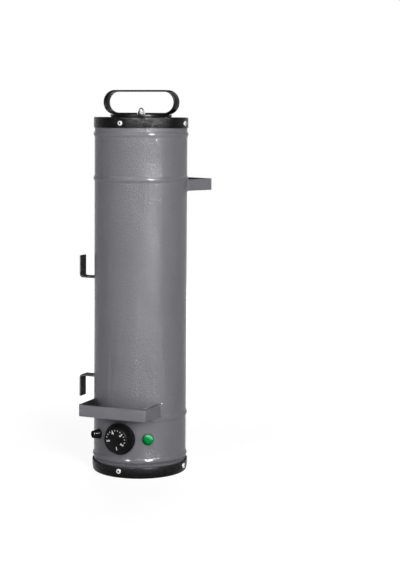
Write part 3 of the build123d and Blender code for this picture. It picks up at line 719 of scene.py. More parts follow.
def moulded(tree, base, roughness, grain, edge=0.25, gloss=0.25):
    """Moulded plastic: fine spark texture, rubbed lighter along its edges."""
    spark = noise(tree, here(tree), grain, detail=3.0)["Fac"]
    cloud = use(tree, "Stains", Cloud=60.0)["Cloud"]
    worn = use(tree, "Edge wear", Reach=0.0004)["Mask"]
    return {
        "Base Color": layered(
            tree, base, (span(tree, cloud, 0, 1, 0, 0.35), shaded(base, 1.5, 0.004)),
            (times(tree, worn, edge), shaded(base, 3, 0.05)),
        ),
        "Roughness": span(tree, spark, 0.3, 0.7, roughness - 0.05, roughness + 0.06),
        "Specular IOR Level": gloss,
        "Normal": relief(tree, spark, strength=0.3, depth=0.00004),
    }


def knob_black(tree):
    return moulded(tree, finish().knob_black, roughness=0.38, grain=1600.0, gloss=0.012)


def gland_black(tree):
    return moulded(tree, (0.005, 0.005, 0.006), roughness=0.18, grain=900.0, gloss=0.03)


# Painted shade: a dark insert that fills the screws' cross recesses
def painted_recess_shade(tree):
    return moulded(tree, (0.010, 0.010, 0.010), roughness=0.60, grain=1200.0, gloss=0.06)


def rubber_black(tree):
    return moulded(tree, (0.018, 0.018, 0.019), roughness=0.68, grain=700.0)


def moulding_white(tree):
    return moulded(tree, (0.68, 0.66, 0.60), roughness=0.42, grain=1200.0)


def dial_white(tree):
    return moulded(tree, (0.80, 0.80, 0.79), roughness=0.50, grain=1800.0, edge=0.0)


def green_plastic(tree, tone, glow):
    """Clear green plastic that glows faintly, with painted highlight on facets that face up and
    right and painted shade on those that face down.
    """
    base = shaded(finish().lamp_green, tone)
    ripple = noise(tree, here(tree), scale=380.0, detail=2.0)["Fac"]
    # Painted highlight and shade: each facet's facing against a fixed direction up and to the right
    painted_light_facing = vector_of(tree, "DOT_PRODUCT", facing(tree), (0.41, 0.287, 0.86))
    body = layered(
        tree, shaded(base, 0.75), (span(tree, ripple, 0.35, 0.65), shaded(base, 1.25, 0.002)),
        (span(tree, painted_light_facing, 0.12, 0.60), shaded((0.16, 0.66, 0.36), tone)),
        (span(tree, painted_light_facing, -0.12, -0.60), shaded(base, 0.3)),
    )
    return {
        "Base Color": body, "Emission Color": body, "Emission Strength": glow,
        "Roughness": 0.10, "Specular IOR Level": 0.03,
        "Normal": relief(tree, ripple, strength=0.1, depth=0.00005),
    }


def lamp_green(tree):
    return green_plastic(tree, tone=1.1, glow=0.16)


def lamp_rim_painted_shade(tree):
    """The lens's skirt, where little light comes through, in a darker copy of the lens green:
    painted shade round the lens.
    """
    return green_plastic(tree, tone=0.45, glow=0.02)


def mineral_wool(tree):
    """Matted fibres of the insulation."""
    drawn = vector_of(tree, "MULTIPLY", here(tree), (1.0, 1.0, 6.0))
    fibre = noise(tree, drawn, scale=420.0, detail=8.0, Distortion=1.6)["Fac"]
    return {
        "Base Color": layered(tree, (0.26, 0.20, 0.10), (fibre, (0.62, 0.54, 0.34))),
        "Roughness": 0.95,
        "Normal": relief(tree, fibre, strength=0.9, depth=0.0012),
    }


def heater_mica(tree):
    """Plates of mica with a metallic glint in their layers."""
    place = here(tree)
    plates = add(tree, "TexVoronoi", {"Vector": place, "Scale": 140.0}).outputs["Distance"]
    flake = noise(tree, place, scale=900.0, detail=4.0)["Fac"]
    return {
        "Base Color": layered(tree, (0.20, 0.16, 0.10), (plates, (0.44, 0.38, 0.28))),
        "Roughness": span(tree, flake, 0.4, 0.6, 0.28, 0.6),
        "Normal": relief(tree, plates, strength=0.4, depth=0.0003),
    }


def lead_sleeve(tree):
    """Woven glass sleeve on the leads."""
    place = here(tree)
    strands = []
    for lay in (place, vector_of(tree, "MULTIPLY", place, (1.0, 1.0, -1.0))):
        values = {"Vector": lay, "Scale": 700.0, "Distortion": 1.0}
        strands.append(add(tree, "TexWave", values, bands_direction="DIAGONAL").outputs["Fac"])
    weave = times(tree, *strands)
    return {
        "Base Color": layered(tree, (0.42, 0.39, 0.33), (weave, (0.78, 0.75, 0.68))),
        "Roughness": 0.8,
        "Normal": relief(tree, weave, strength=0.6, depth=0.0002),
    }


FINISHES = {
    made.__name__: made
    for made in (
        shell_grey, painted_inner_shade, cap_black, collar_black, lid_black, screw_steel, acorn_plate,
        painted_recess_shade, rod_steel, cup_metal, chamber_steel, mineral_wool, heater_mica, knob_black,
        dial_white, lamp_green, lamp_rim_painted_shade, moulding_white, gland_black, rubber_black, lead_sleeve,
        brass_plain, copper_tube,
    )
}
HIGHLIGHTED = (
    "shell_grey", "cap_black", "collar_black", "lid_black", "knob_black", "lamp_green",
    "gland_black",
)


def material_for(coat, matt=False):
    """The material of a finish, made when it is first asked for, or its paint without gloss."""
    name = coat + ("_matt" if matt else "_finish")
    if name in bpy.data.materials:
        return bpy.data.materials[name]
    made = bpy.data.materials.new(name)
    made.use_nodes = True
    tree = made.node_tree
    tree.nodes.clear()
    inputs = FINISHES[coat](tree)
    if matt:
        inputs["Specular IOR Level"] = 0.0
    shader = add(tree, "BsdfPrincipled", inputs)
    add(tree, "OutputMaterial", {"Surface": shader.outputs["BSDF"]})
    return made


# Pieces


class OVEN_OT_shell(bpy.types.Operator):
    """Make the beaded shell, the base cap and the top collar"""

    bl_idname = "oven.shell"
    bl_label = "Shell, cap and collar"

    def execute(self, context):
        self.shell()
        self.base_cap()
        self.top_collar()
        return {"FINISHED"}

    def shell(self):
        size = sizes()
        bottom, top = heights("outer_shell")
        crest = high("outer_shell").x
        radius = shell_radius()
        oven_top = high("top_collar").z
        foot = size.bead_width / 2
        flat = size.bead_flat / 2
        outside = [(radius, bottom)]
        for level in (
            size.end_bead_inset, size.lower_bead_inset,
            oven_top - size.upper_bead_inset, oven_top - size.end_bead_inset,
        ):
            outside += [(radius, level - foot), (crest, level - flat)]
            outside += [(crest, level + flat), (radius, level + foot)]
        outside.append((radius, top))
        inside = [(reach - size.shell_wall, height) for reach, height in reversed(outside)]
        bm = spun(outside + inside, DRUM_STEPS)
        soften(
            bm, size.bead_round, segments=4, above=bottom + size.cap_wall,
            below=top - size.cap_wall, sharp_from=15,
        )
        piece("shell_tube", bm, "outer_shell")

    def base_cap(self):
        size = sizes()
        wall = size.cap_wall
        radius = high("base_cap").x
        top = high("base_cap").z
        inner = radius - wall
        outline = [
            (0, 0), (radius - size.cap_draft, 0), (radius, size.cap_draft_height), (radius, top),
            (inner, top), (inner, wall), (0, wall),
        ]
        bm = spun(outline, CAP_STEPS, closed=False)
        soften(bm, size.cap_corner, segments=5, below=wall / 2, beyond=inner / 2)
        soften(bm, size.sheet_edge, segments=2, above=top - wall / 2)
        matt_top(piece("base_cap_shell", bm, "base_cap"), "cap_black")

    def top_collar(self):
        size = sizes()
        wall = size.collar_wall
        mouth = size.mouth_radius
        radius = high("top_collar").x
        bottom, top = heights("top_collar")
        inner = radius - wall
        outline = [(mouth, top), (radius, top), (radius, bottom), (inner, bottom)]
        outline += [(inner, top - wall), (mouth, top - wall)]
        bm = spun(outline, CAP_STEPS)
        soften(bm, size.collar_corner, segments=4, above=top - wall / 2, beyond=inner)
        soften(bm, size.sheet_edge, segments=2, below=bottom + wall / 2)
        matt_top(piece("collar_ring", bm, "top_collar", "collar_black"), "collar_black")


def of_kind(geometry, kind):
    return [item for item in geometry if isinstance(item, kind)]


def bent_bar(start, heading, inward, moves, bend):
    """Push the flat bar's section along straight runs and turns, as a bender does.

    Gives the mesh, closed at both ends, and the points of each end."""
    size = sizes()
    bm = bmesh.new()
    across = heading.cross(inward)
    grid = bmesh.ops.create_grid(bm, x_segments=1, y_segments=1, size=0.5)
    bmesh.ops.scale(bm, vec=(size.bar_wall, size.bar_width, 1), verts=grid["verts"])
    bmesh.ops.bevel(
        bm, geom=grid["verts"], offset=size.bar_edge, offset_type="OFFSET", segments=3, profile=0.5,
        affect="VERTICES", material=-1,
    )
    turned = Matrix((inward, across, heading)).transposed().to_4x4()
    bmesh.ops.transform(bm, matrix=Matrix.Translation(start) @ turned, verts=bm.verts)
    ring = bm.edges[:]
    first = bm.verts[:]
    position = start.copy()
    for run, turn in moves:
        pushed = bmesh.ops.extrude_edge_only(bm, edges=ring)["geom"]
        points = of_kind(pushed, bmesh.types.BMVert)
        edges = of_kind(pushed, bmesh.types.BMEdge)
        ring = [edge for edge in edges if all(point in points for point in edge.verts)]
        bmesh.ops.translate(bm, vec=heading * run, verts=points)
        position = position + heading * run
        if turn:
            centre = position + inward * (bend - size.bar_wall / 2)
            swung = bmesh.ops.spin(
                bm, geom=ring + points, cent=centre, axis=across, dvec=(0, 0, 0), angle=turn,
                steps=round(turn / BEND_STEP), use_merge=False, use_duplicate=False,
            )
            ring = of_kind(swung["geom_last"], bmesh.types.BMEdge)
            swing = Matrix.Rotation(turn, 3, across)
            position = centre + swing @ (position - centre)
            heading = swing @ heading
            inward = swing @ inward
    last = list({point for edge in ring for point in edge.verts})
    bmesh.ops.contextual_create(bm, geom=ring)
    return bm, (first, last)


RIPPLE_WAVES = ((0.16, 2.7), (0.10, 7.1))


def weld_runs(name, node, lines, azimuth):
    """Rippled weld beads along lines given by two ends, made one skin by a voxel remesh."""
    size = sizes()
    bm = bmesh.new()
    for start, end in lines:
        ripples = round((end - start).length / size.weld_pitch)
        for index in range(ripples + 1):
            swell = 1 + sum(part * math.sin(index * rate) for part, rate in RIPPLE_WAVES)
            centre = Matrix.Translation(start.lerp(end, index / ripples))
            ripple = centre @ Matrix.Scale(size.weld_radius * swell, 4)
            bmesh.ops.create_icosphere(bm, subdivisions=2, radius=1.0, matrix=ripple)
    rough = mesh_from(bm, name + "_rough")
    bm = bmesh.new()
    absorb(bm, worked_mesh(rough, "REMESH", mode="VOXEL", voxel_size=size.weld_radius / 4))
    bmesh.ops.smooth_vert(
        bm, verts=bm.verts, factor=0.5, use_axis_x=True, use_axis_y=True, use_axis_z=True
    )
    piece(name, bm, node, place=Matrix.Rotation(azimuth, 4, "Z"), replaces=False)


class OVEN_OT_brackets(bpy.types.Operator):
    """Bend the dial guard, carry bracket and cable hooks from flat bar, and weld them on"""

    bl_idname = "oven.brackets"
    bl_label = "Brackets and hooks"

    carry_azimuth: angle("Carry bracket azimuth", 157, "Angle from the dial")
    hook_azimuth: angle("Hook azimuth", -90, "Angle from the dial")
    # Faces that look further inwards than this get the painted shade
    facing_in: share("Facing in", 0.7, "How far a face looks inwards where the dull paint starts")

    def execute(self, context):
        self.bracket("dial_guard", 0)
        self.bracket("carry_bracket", self.carry_azimuth)
        self.hook("upper_cable_hook", 1)
        self.hook("lower_cable_hook", -1)
        return {"FINISHED"}

    def bracket(self, node, azimuth):
        """A bar bent to a U, modelled facing -Y with the dial guard's width and reach."""
        size = sizes()
        half = (high("dial_guard").x - low("dial_guard").x) / 2
        inner = half - size.bar_wall
        inside = shell_radius() / 2
        start = Vector((size.bar_wall / 2 - half, -inside, low(node).z + size.bar_width / 2))
        leg = -low("dial_guard").y - size.bracket_bend - inside
        front = 2 * (half - size.bracket_bend)
        moves = ((leg, QUARTER_TURN), (front, QUARTER_TURN), (leg, 0))
        bm, ends = bent_bar(start, OUT_OF_FRONT, Vector((1, 0, 0)), moves, size.bracket_bend)
        lines = []
        for x in (-half, -inner, inner, half):
            y = self.skin(x)
            lines.append((Vector((x, y, low(node).z)), Vector((x, y, high(node).z))))
        self.weld_on(node, bm, ends[0] + ends[1], lines, azimuth)

    def hook(self, node, direction):
        """A bar bent to an L, upwards for a direction of 1 and downwards for -1."""
        size = sizes()
        near = low(node).z if direction > 0 else high(node).z
        inside = shell_radius() / 2
        start = Vector((0, -inside, near + direction * size.bar_wall / 2))
        leg = -low(node).x - size.hook_bend - inside
        upright = high(node).z - low(node).z - size.hook_bend
        moves = ((leg, QUARTER_TURN), (upright, 0))
        bm, ends = bent_bar(start, OUT_OF_FRONT, UP * direction, moves, size.hook_bend)
        side = size.bar_width / 2
        lines = []
        for height in (near, near + direction * size.bar_wall):
            spots = [Vector((x, self.skin(x), height)) for x in (-side, 0, side)]
            lines += zip(spots, spots[1:])
        self.weld_on(node, bm, ends[0], lines, self.hook_azimuth)

    def skin(self, x, sunk=0.0):
        """Where the round shell's front is at a distance to the side."""
        return -math.sqrt((shell_radius() - sunk) ** 2 - x**2)

    def weld_on(self, node, bm, seated, lines, azimuth):
        """Stand a bar's ends on the shell, give its inner sides the darker paint of painted shade,
        and weld it on.
        """
        for point in seated:
            point.co.y = self.skin(point.co.x, sizes().sheet_edge)
        tidy(bm)
        bm.normal_update()
        # Faces that look inwards or towards the shell get the darker paint: painted shade
        for face in bm.faces:
            middle = face.calc_center_median()
            inwards = -face.normal.x if middle.x > 0 else face.normal.x
            leg_inside = abs(middle.x) > sizes().bar_width and inwards > self.facing_in
            face.material_index = int(leg_inside or face.normal.y > self.facing_in)
        bar = piece(node + "_bar", bm, node, place=Matrix.Rotation(azimuth, 4, "Z"))
        bar.data.materials.append(material_for("painted_inner_shade"))
        matt_top(bar, "shell_grey")
        weld_runs(node + "_welds", node, lines, azimuth)


class OVEN_OT_screws(bpy.types.Operator):
    """Make the pan head screws of both caps, with their cross recesses"""

    bl_idname = "oven.screws"
    bl_label = "Cap screws"

    head_radius: length("Head radius", 0.0042, "Radius of a screw's head")
    head_height: length("Head height", 0.0025, "Height of a screw's head")
    head_round: length("Head rounding", 0.0014, "Rounding of a screw's head")
    shank_radius: length("Shank radius", 0.0020, "Radius of a screw's shank")
    shank_length: length("Shank length", 0.0090, "Length of a screw's shank")
    recess_reach: length("Recess reach", 0.0048, "From tip to tip of the cross recess")
    recess_width: length("Recess width", 0.0016, "Width of the recess's wings")
    recess_depth: length("Recess depth", 0.0014, "Depth of the recess")
    # The dark insert of painted shade starts this deep in the recess
    recess_floor: length("Recess floor", 0.0009, "Depth at which the dark of the recess starts")

    def execute(self, context):
        recess_bottom = self.head_height - self.recess_depth
        head = self.head(recess_bottom)
        cross = self.cross(recess_bottom, self.head_height - self.recess_floor)
        for node, cap in (("base_cap_screws", "base_cap"), ("collar_screws", "top_collar")):
            places = [
                radial_place(QUARTER_TURN * quarter, high(cap).x, middle_level(node))
                for quarter in range(4)
            ]
            piece(node + "_heads", self.copies(head, places), node)
            # Dark crosses inside the recesses, as painted shade
            recesses = self.copies(cross, places)
            piece(node + "_recesses", recesses, node, "painted_recess_shade", replaces=False)
        bpy.data.meshes.remove(head)
        bpy.data.meshes.remove(cross)
        return {"FINISHED"}

    def copies(self, mesh, places):
        bm = bmesh.new()
        for place in places:
            placed = mesh.copy()
            placed.transform(place)
            absorb(bm, placed)
        return bm

    def cross(self, bottom, top):
        """The cross recess as a solid, from two crossed bars turned to the screws' angle."""
        bm = bmesh.new()
        reach = self.recess_reach / 2
        half = self.recess_width / 2
        points = []
        for quarter in range(4):
            turn = Matrix.Rotation(QUARTER_TURN * (quarter + 0.5), 3, "Z")
            for corner in ((reach, -half, bottom), (reach, half, bottom), (half, half, bottom)):
                points.append(bm.verts.new(turn @ Vector(corner)))
        grown = bmesh.ops.extrude_face_region(bm, geom=[bm.faces.new(points)])["geom"]
        bmesh.ops.translate(bm, vec=UP * (top - bottom), verts=of_kind(grown, bmesh.types.BMVert))
        tidy(bm)
        return mesh_from(bm, "cross")

    def head(self, recess_bottom):
        """One screw along +Z, its recess cut by a cross."""
        outline = [(0, -self.shank_length), (self.shank_radius, -self.shank_length)]
        outline += [(self.shank_radius, 0), (self.head_radius, 0)]
        outline += [(self.head_radius, self.head_height), (0, self.head_height)]
        bm = spun(outline, SCREW_STEPS, closed=False)
        soften(bm, self.head_round, segments=5, above=self.head_height / 2)
        cutter = self.cross(recess_bottom, self.head_height * 2)
        tool = new_object("cutter", cutter)
        head = worked_mesh(
            mesh_from(bm, "screw"), "BOOLEAN", operation="DIFFERENCE", solver="EXACT", object=tool
        )
        bpy.data.objects.remove(tool)
        bpy.data.meshes.remove(cutter)
        return head


class OVEN_OT_dial(bpy.types.Operator):
    """Make the fluted dial knob with its ticks and plain numerals"""

    bl_idname = "oven.dial"
    bl_label = "Dial knob"

    flutes: count("Flutes", 30, "Grip flutes round the knob")
    flute_steps: count("Steps", 8, "Mesh steps for each flute")
    tick_count: count("Ticks", 11, "Ticks round the knob's face")
    tick_turn: angle("Tick spacing", 17.1, "Angle from one tick to the next")
    first_tick: angle("First tick", -8, "Angle of the last tick on the right")
    numeral_angles: bpy.props.FloatVectorProperty(
        name="Numeral angles", description="Angle of each numeral round the face, 1 first", size=5,
        default=[math.radians(degrees) for degrees in (-81, -27, 44, 114, 186)], subtype="NONE",
    )

    def execute(self, context):
        place = radial_place(0, -high("dial_knob").y, middle_level("dial_knob"))
        deep = high("dial_knob").y - low("dial_knob").y
        self.knob(place, deep)
        self.marks(place, deep)
        return {"FINISHED"}

    def knob(self, place, deep):
        size = sizes()
        back = (high("dial_knob").x - low("dial_knob").x) / 2
        front = size.knob_front_radius
        edge = size.sheet_edge * 2
        slope = (back - front) / deep
        flute_end = deep - 3 * edge
        flute_fade = flute_end + edge / 2
        dish = size.knob_dish_radius
        hollow = front - size.knob_web
        hub = 3 * size.rod_radius
        roof = deep - size.knob_web
        outline = [
            (0, deep - size.knob_dish_depth), (dish, deep - size.knob_dish_depth), (dish, deep),
            (front - edge, deep), (back - slope * (deep - edge), deep - edge),
            (back - slope * flute_fade, flute_fade), (back - slope * flute_end, flute_end),
            (back, 0), (hollow, 0), (hollow, roof), (hub, roof), (hub, 0), (0, 0),
        ]
        bm = spun(outline, self.flutes * self.flute_steps, closed=False)
        for point in bm.verts:
            reach = from_axis(point.co)
            if reach > front and point.co.z <= flute_end:
                phase = math.atan2(point.co.y, point.co.x) * self.flutes
                groove = max(0.0, math.cos(phase)) ** 2
                factor = 1 - size.flute_depth * groove / reach
                point.co.x *= factor
                point.co.y *= factor
        soften(bm, edge / 3, segments=2, above=deep - edge * 1.2, beyond=dish / 2, sharp_from=20)
        piece("dial_knob_cap", bm, "dial_knob", place=place)

    def marks(self, place, deep):
        """Ticks on the upper half and the numerals 1 to 5, printed on the sunk face."""
        size = sizes()
        face = deep - size.knob_dish_depth
        bm = bmesh.new()
        for index in range(self.tick_count):
            spot = self.spot(self.first_tick + index * self.tick_turn, size.tick_radius, face)
            tick = Matrix.Diagonal((size.tick_length, size.tick_width, size.sheet_edge / 4, 1))
            bmesh.ops.create_cube(bm, size=1.0, matrix=spot @ tick)
        for index, turn in enumerate(self.numeral_angles):
            text = bpy.data.curves.new("numeral", "FONT")
            text.body = str(index + 1)
            text.size = size.numeral_height
            text.extrude = size.sheet_edge / 8
            text.offset = size.numeral_weight
            text.align_x = "CENTER"
            text.align_y = "CENTER"
            numeral = worked_mesh(text)
            spot = self.spot(turn, size.numeral_radius, face)
            numeral.transform(spot @ Matrix.Rotation(-QUARTER_TURN, 4, "Z"))
            absorb(bm, numeral)
        piece("dial_marks", bm, "dial_knob", "dial_white", place, replaces=False)

    def spot(self, turn, radius, face):
        return Matrix.Rotation(turn, 4, "Z") @ Matrix.Translation((radius, 0, face))


class OVEN_OT_lamp(bpy.types.Operator):
    """Make the pilot lamp's faceted lens"""

    bl_idname = "oven.lamp"
    bl_label = "Pilot lamp"

    azimuth: angle("Azimuth", 35, "Angle from the dial")
    radius: length("Radius", 0.0095, "Radius of the lens")
    skirt: length("Skirt", 0.0022, "Height of the lens's round skirt")
    rim: length("Rim", 0.0009, "Width of the skirt's rim round the facets")
    height: length("Height", 0.0070, "Height of the lens over the shell")
    table: length("Table", 0.0060, "Radius of the lens's crown")
    bezel: length("Bezel", 0.0024, "Width of the facets round the lens's top")
    facets: count("Facets", 12, "Facets round the lens")
    facet_angle: angle("Facet angle", 12, "Least angle between two facets that stays sharp")

    def execute(self, context):
        size = sizes()
        place = radial_place(self.azimuth, shell_radius(), middle_level("lamp_lens"))
        skirt = [(0, -size.shell_wall), (self.radius, -size.shell_wall)]
        skirt += [(self.radius, self.skirt), (0, self.skirt)]
        bm = spun(skirt, LAMP_STEPS, closed=False)
        soften(bm, size.sheet_edge, segments=3, above=self.skirt / 2)
        # The skirt's darker green is painted shade round the lens
        piece("lamp_skirt", bm, "lamp_lens", "lamp_rim_painted_shade", place, replaces=False)
        foot = self.radius - self.rim
        waist = (foot + self.table) / 2 + size.sheet_edge
        sunk = self.skirt - size.sheet_edge
        jewel = [
            (0, sunk), (foot, sunk), (waist, (self.skirt + self.height) / 2),
            (self.table, self.height - size.sheet_edge * 2),
            (self.table - self.bezel, self.height), (0, self.height),
        ]
        lens = piece("lamp_jewel", spun(jewel, self.facets, closed=False), "lamp_lens", place=place)
        lens.data.set_sharp_from_angle(angle=self.facet_angle)
        return {"FINISHED"}


class OVEN_OT_gland(bpy.types.Operator):
    """Make the ribbed cable gland with its open bore"""

    bl_idname = "oven.gland"
    bl_label = "Cable gland"

    azimuth: angle("Azimuth", -35, "Angle from the dial")
    bore: length("Bore", 0.0040, "Radius of the hole for the cable")
    flange_radius: length("Flange radius", 0.0081, "Radius of the gland's flange")
    flange_height: length("Flange height", 0.0030, "Thickness of the gland's flange")
    base_radius: length("Base radius", 0.0079, "Radius where the nose starts")
    tip_radius: length("Tip radius", 0.0062, "Radius at the nose's end")
    reach: length("Reach", 0.0130, "From the shell to the nose's end")
    shank_radius: length("Shank radius", 0.0060, "Radius of the threaded shank inside")
    shank_length: length("Shank length", 0.0120, "Length of the shank inside the shell")
    ribs: count("Ribs", 3, "Grooves round the nose")
    groove: length("Groove", 0.0003, "Depth of a groove on the nose")
    groove_mouth: share("Groove mouth", 2 / 5, "Width of a groove at its top, in its pitch")
    groove_floor: share("Groove floor", 2 / 9, "Width of a groove at its bottom, in its pitch")
    first_groove: share("First groove", 0.7, "Where the first groove is, in its pitch")

    def execute(self, context):
        size = sizes()
        nose = self.reach - self.flange_height
        outline = [(self.bore, -self.shank_length), (self.shank_radius, -self.shank_length)]
        outline += [(self.shank_radius, -size.shell_wall), (self.flange_radius, -size.shell_wall)]
        outline.append((self.flange_radius, self.flange_height))
        outline.append((self.base_radius, self.flange_height))
        pitch = nose / (self.ribs + 1)
        lip = pitch * self.groove_mouth / 2
        flat = pitch * self.groove_floor / 2
        for index in range(self.ribs):
            along = pitch * (index + self.first_groove)
            middle = self.flange_height + along
            skin = self.base_radius - (self.base_radius - self.tip_radius) * along / nose
            floor = skin - self.groove
            outline += [(skin, middle - lip), (floor, middle - flat)]
            outline += [(floor, middle + flat), (skin, middle + lip)]
        outline += [(self.tip_radius, self.reach), (self.bore, self.reach)]
        bm = spun(outline, SMALL_STEPS)
        soften(bm, self.groove, segments=3, above=self.flange_height / 2, sharp_from=40)
        place = radial_place(self.azimuth, shell_radius(), middle_level("cable_gland"))
        piece("gland_nose", bm, "cable_gland", place=place)
        return {"FINISHED"}


class OVEN_OT_lid(bpy.types.Operator):
    """Make the lid's cover, pan and bent handle"""

    bl_idname = "oven.lid"
    bl_label = "Lid and handle"

    edge_round: length("Edge rounding", 0.0008, "Rounding on the cover's top edge")
    pan_lip: length("Pan lip", 0.0025, "Width of the pan's lip on the collar")
    pan_wall: length("Pan wall", 0.0012, "Sheet thickness of the pan")
    pan_corner: length("Pan corner", 0.0020, "Rounding under the pan")
    handle_gap: length("Handle gap", 0.0240, "Gap between the handle's two ends")

    def execute(self, context):
        hole = sizes().rod_radius + sizes().hole_gap
        underside, top = heights("lid_cover")
        radius = high("lid_cover").x
        bm = spun([(hole, underside), (radius, underside), (radius, top), (hole, top)], LID_STEPS)
        soften(bm, self.edge_round, segments=4, above=(top + underside) / 2, beyond=hole * 2)
        matt_top(piece("lid_disc", bm, "lid_cover"), "lid_black")
        self.pan(hole)
        self.handle()
        return {"FINISHED"}

    def pan(self, hole):
        bottom, top = heights("lid_pan")
        lip = high("lid_pan").x
        seat = high("top_collar").z
        radius = lip - self.pan_lip
        inner = radius - self.pan_wall
        outline = [
            (hole, bottom), (radius, bottom), (radius, seat), (lip, seat), (lip, top),
            (inner, top), (inner, bottom + self.pan_wall), (hole, bottom + self.pan_wall),
        ]
        bm = spun(outline, LID_STEPS)
        soften(bm, self.pan_corner, segments=4, below=bottom + self.pan_wall / 2, beyond=inner)
        piece("lid_pan_shell", bm, "lid_pan")

    def handle(self):
        half = high("lid_handle").x
        bottom, top = heights("lid_handle")
        bend = (top - bottom) / 2
        start = Vector((self.handle_gap / 2, 0, bottom + sizes().bar_wall / 2))
        first_run = half - bend - self.handle_gap / 2
        moves = ((first_run, HALF_TURN), (2 * (half - bend), HALF_TURN), (first_run, 0))
        bm = bent_bar(start, Vector((1, 0, 0)), UP, moves, bend)[0]
        tidy(bm)
        matt_top(piece("lid_handle_bar", bm, "lid_handle"), "lid_black")


class OVEN_OT_nuts(bpy.types.Operator):
    """Make the acorn nut, the hexagon nuts and the washers on the lifter rod"""

    bl_idname = "oven.nuts"
    bl_label = "Nuts and washers"

    hex_height: length("Hexagon height", 0.0055, "Height of the acorn nut's hexagon")
    dome_radius: length("Dome radius", 0.0047, "Radius of the acorn nut's dome")
    chamfer: angle("Chamfer", 30, "Slope of the cone that cuts a nut's corners")
    chamfer_start: share("Chamfer start", 0.97, "Share of the half width where the cone starts")

    def execute(self, context):
        self.acorn()
        bore = sizes().rod_radius
        for node in ("lid_nut", "cup_nut"):
            piece(node + "_hexagon", self.hexagon(*heights(node), underside_cut=True), node)
        for node in ("lid_washer", "cup_washer"):
            radius = high(node).x
            bottom, top = heights(node)
            bm = spun([(bore, bottom), (radius, bottom), (radius, top), (bore, top)], SMALL_STEPS)
            soften(bm, sizes().sheet_edge / 2, segments=2, beyond=bore * 1.5)
            piece(node + "_ring", bm, node)
        return {"FINISHED"}

    def hexagon(self, bottom, top, underside_cut=False):
        """A hexagon nut with cone-cut corners: a ring whose points are pushed out to the flats."""
        bore = sizes().rod_radius
        skin = sizes().nut_width / 2
        cone = skin * self.chamfer_start
        sixth = FULL_TURN / 6
        outline = [(bore, bottom), (cone, bottom), (skin, bottom)]
        outline += [(skin, top), (cone, top), (bore, top)]
        bm = spun(outline, NUT_STEPS)
        for point in bm.verts:
            if from_axis(point.co) < skin - MERGE_DISTANCE:
                continue
            turn = math.atan2(point.co.y, point.co.x)
            reach = skin / math.cos((turn + sixth / 2) % sixth - sixth / 2)
            drop = (reach - cone) * math.tan(self.chamfer)
            if point.co.z > (top + bottom) / 2:
                point.co.z = top - drop
            elif underside_cut:
                point.co.z = bottom + drop
            point.co.x = reach * math.cos(turn)
            point.co.y = reach * math.sin(turn)
        return bm

    def acorn(self):
        bottom, top = heights("acorn_nut")
        radius = self.dome_radius
        shoulder = bottom + self.hex_height
        dome = [(radius, shoulder - sizes().hole_gap)]
        for index in range(DOME_STEPS):
            turn = QUARTER_TURN * index / DOME_STEPS
            dome.append((radius * math.cos(turn), top - radius + radius * math.sin(turn)))
        dome.append((0, top))
        bm = self.hexagon(bottom, shoulder)
        absorb(bm, mesh_from(spun(dome, SCREW_STEPS, closed=False), "dome"))
        piece("acorn_nut_cap", bm, "acorn_nut", "acorn_plate")


class OVEN_OT_lifter(bpy.types.Operator):
    """Make the lifter's threaded rod and its brushed cup"""

    bl_idname = "oven.lifter"
    bl_label = "Lifter rod and cup"

    thread_run: length("Thread length", 0.016, "Length of the rod's lower thread")
    ridge: share("Thread ridge", 0.30, "Where a ridge of the thread is in its pitch")
    valley: share("Thread valley", 0.65, "Where a groove of the thread is in its pitch")
    rim_waves = ((5, 1), (23, 0))

    def execute(self, context):
        self.rod()
        self.cup()
        return {"FINISHED"}

    def rod(self):
        size = sizes()
        bottom, top = heights("lifter_rod")
        seat = low("lifter_cup").z
        head = high("lifter_rod").x
        radius = size.rod_radius
        upper_thread = low("lid_nut").z - size.bar_wall
        outline = [(0, bottom), (head, bottom), (head, seat), (radius, seat)]
        outline += self.thread(seat, round(self.thread_run / size.thread_pitch))
        outline += self.thread(upper_thread, round((top - upper_thread) / size.thread_pitch) - 1)
        outline += [(radius, top - size.sheet_edge), (radius - size.sheet_edge, top), (0, top)]
        bm = spun(outline, ROD_STEPS, closed=False)
        soften(bm, size.sheet_edge, segments=2, below=seat, beyond=head * 0.9)
        piece("lifter_rod_bar", bm, "lifter_rod")

    def thread(self, start, turns):
        """Ridges and grooves of a thread, as radius and height."""
        size = sizes()
        points = []
        for index in range(turns + 1):
            ridge = start + size.thread_pitch * (index + self.ridge)
            groove = start + size.thread_pitch * (index + self.valley)
            points += [(size.rod_radius, ridge), (size.rod_radius - size.thread_depth, groove)]
        return points[:-1]

    def cup(self):
        size = sizes()
        bottom, top = heights("lifter_cup")
        mouth = high("lifter_cup").x
        base = mouth - size.sheet_edge * 2
        hole = size.rod_radius + size.hole_gap
        wall = size.cup_wall
        under = bottom + wall / 2
        outline = [
            (hole, bottom), (base, bottom), (mouth, top), (mouth - wall, top),
            (base - wall, bottom + wall), (hole, bottom + wall),
        ]
        bm = spun(outline, CAP_STEPS)
        soften(bm, size.cup_corner, segments=6, below=under, beyond=base - wall / 2)
        soften(
            bm, size.cup_corner - wall, segments=6, above=under, below=bottom + wall * 1.5,
            beyond=base - wall * 1.5,
        )
        soften(bm, size.sheet_edge, segments=2, above=top - wall / 2)
        for point in bm.verts:
            if point.co.z > top - wall:
                turn = math.atan2(point.co.y, point.co.x)
                waves = sum(math.sin(turn * rate + start) for rate, start in self.rim_waves)
                point.co.z -= size.rim_roughness * (0.5 + waves / 4)
        piece("lifter_cup_shell", bm, "lifter_cup")


class OVEN_OT_inside(bpy.types.Operator):
    """Give every CAD piece that stays its own finish"""

    bl_idname = "oven.inside"
    bl_label = "Finish of the other pieces"

    def execute(self, context):
        for node, made in frame["nodes"].items():
            for holder in made.material_slots:
                holder.material = material_for(slot_of(node))
        return {"FINISHED"}


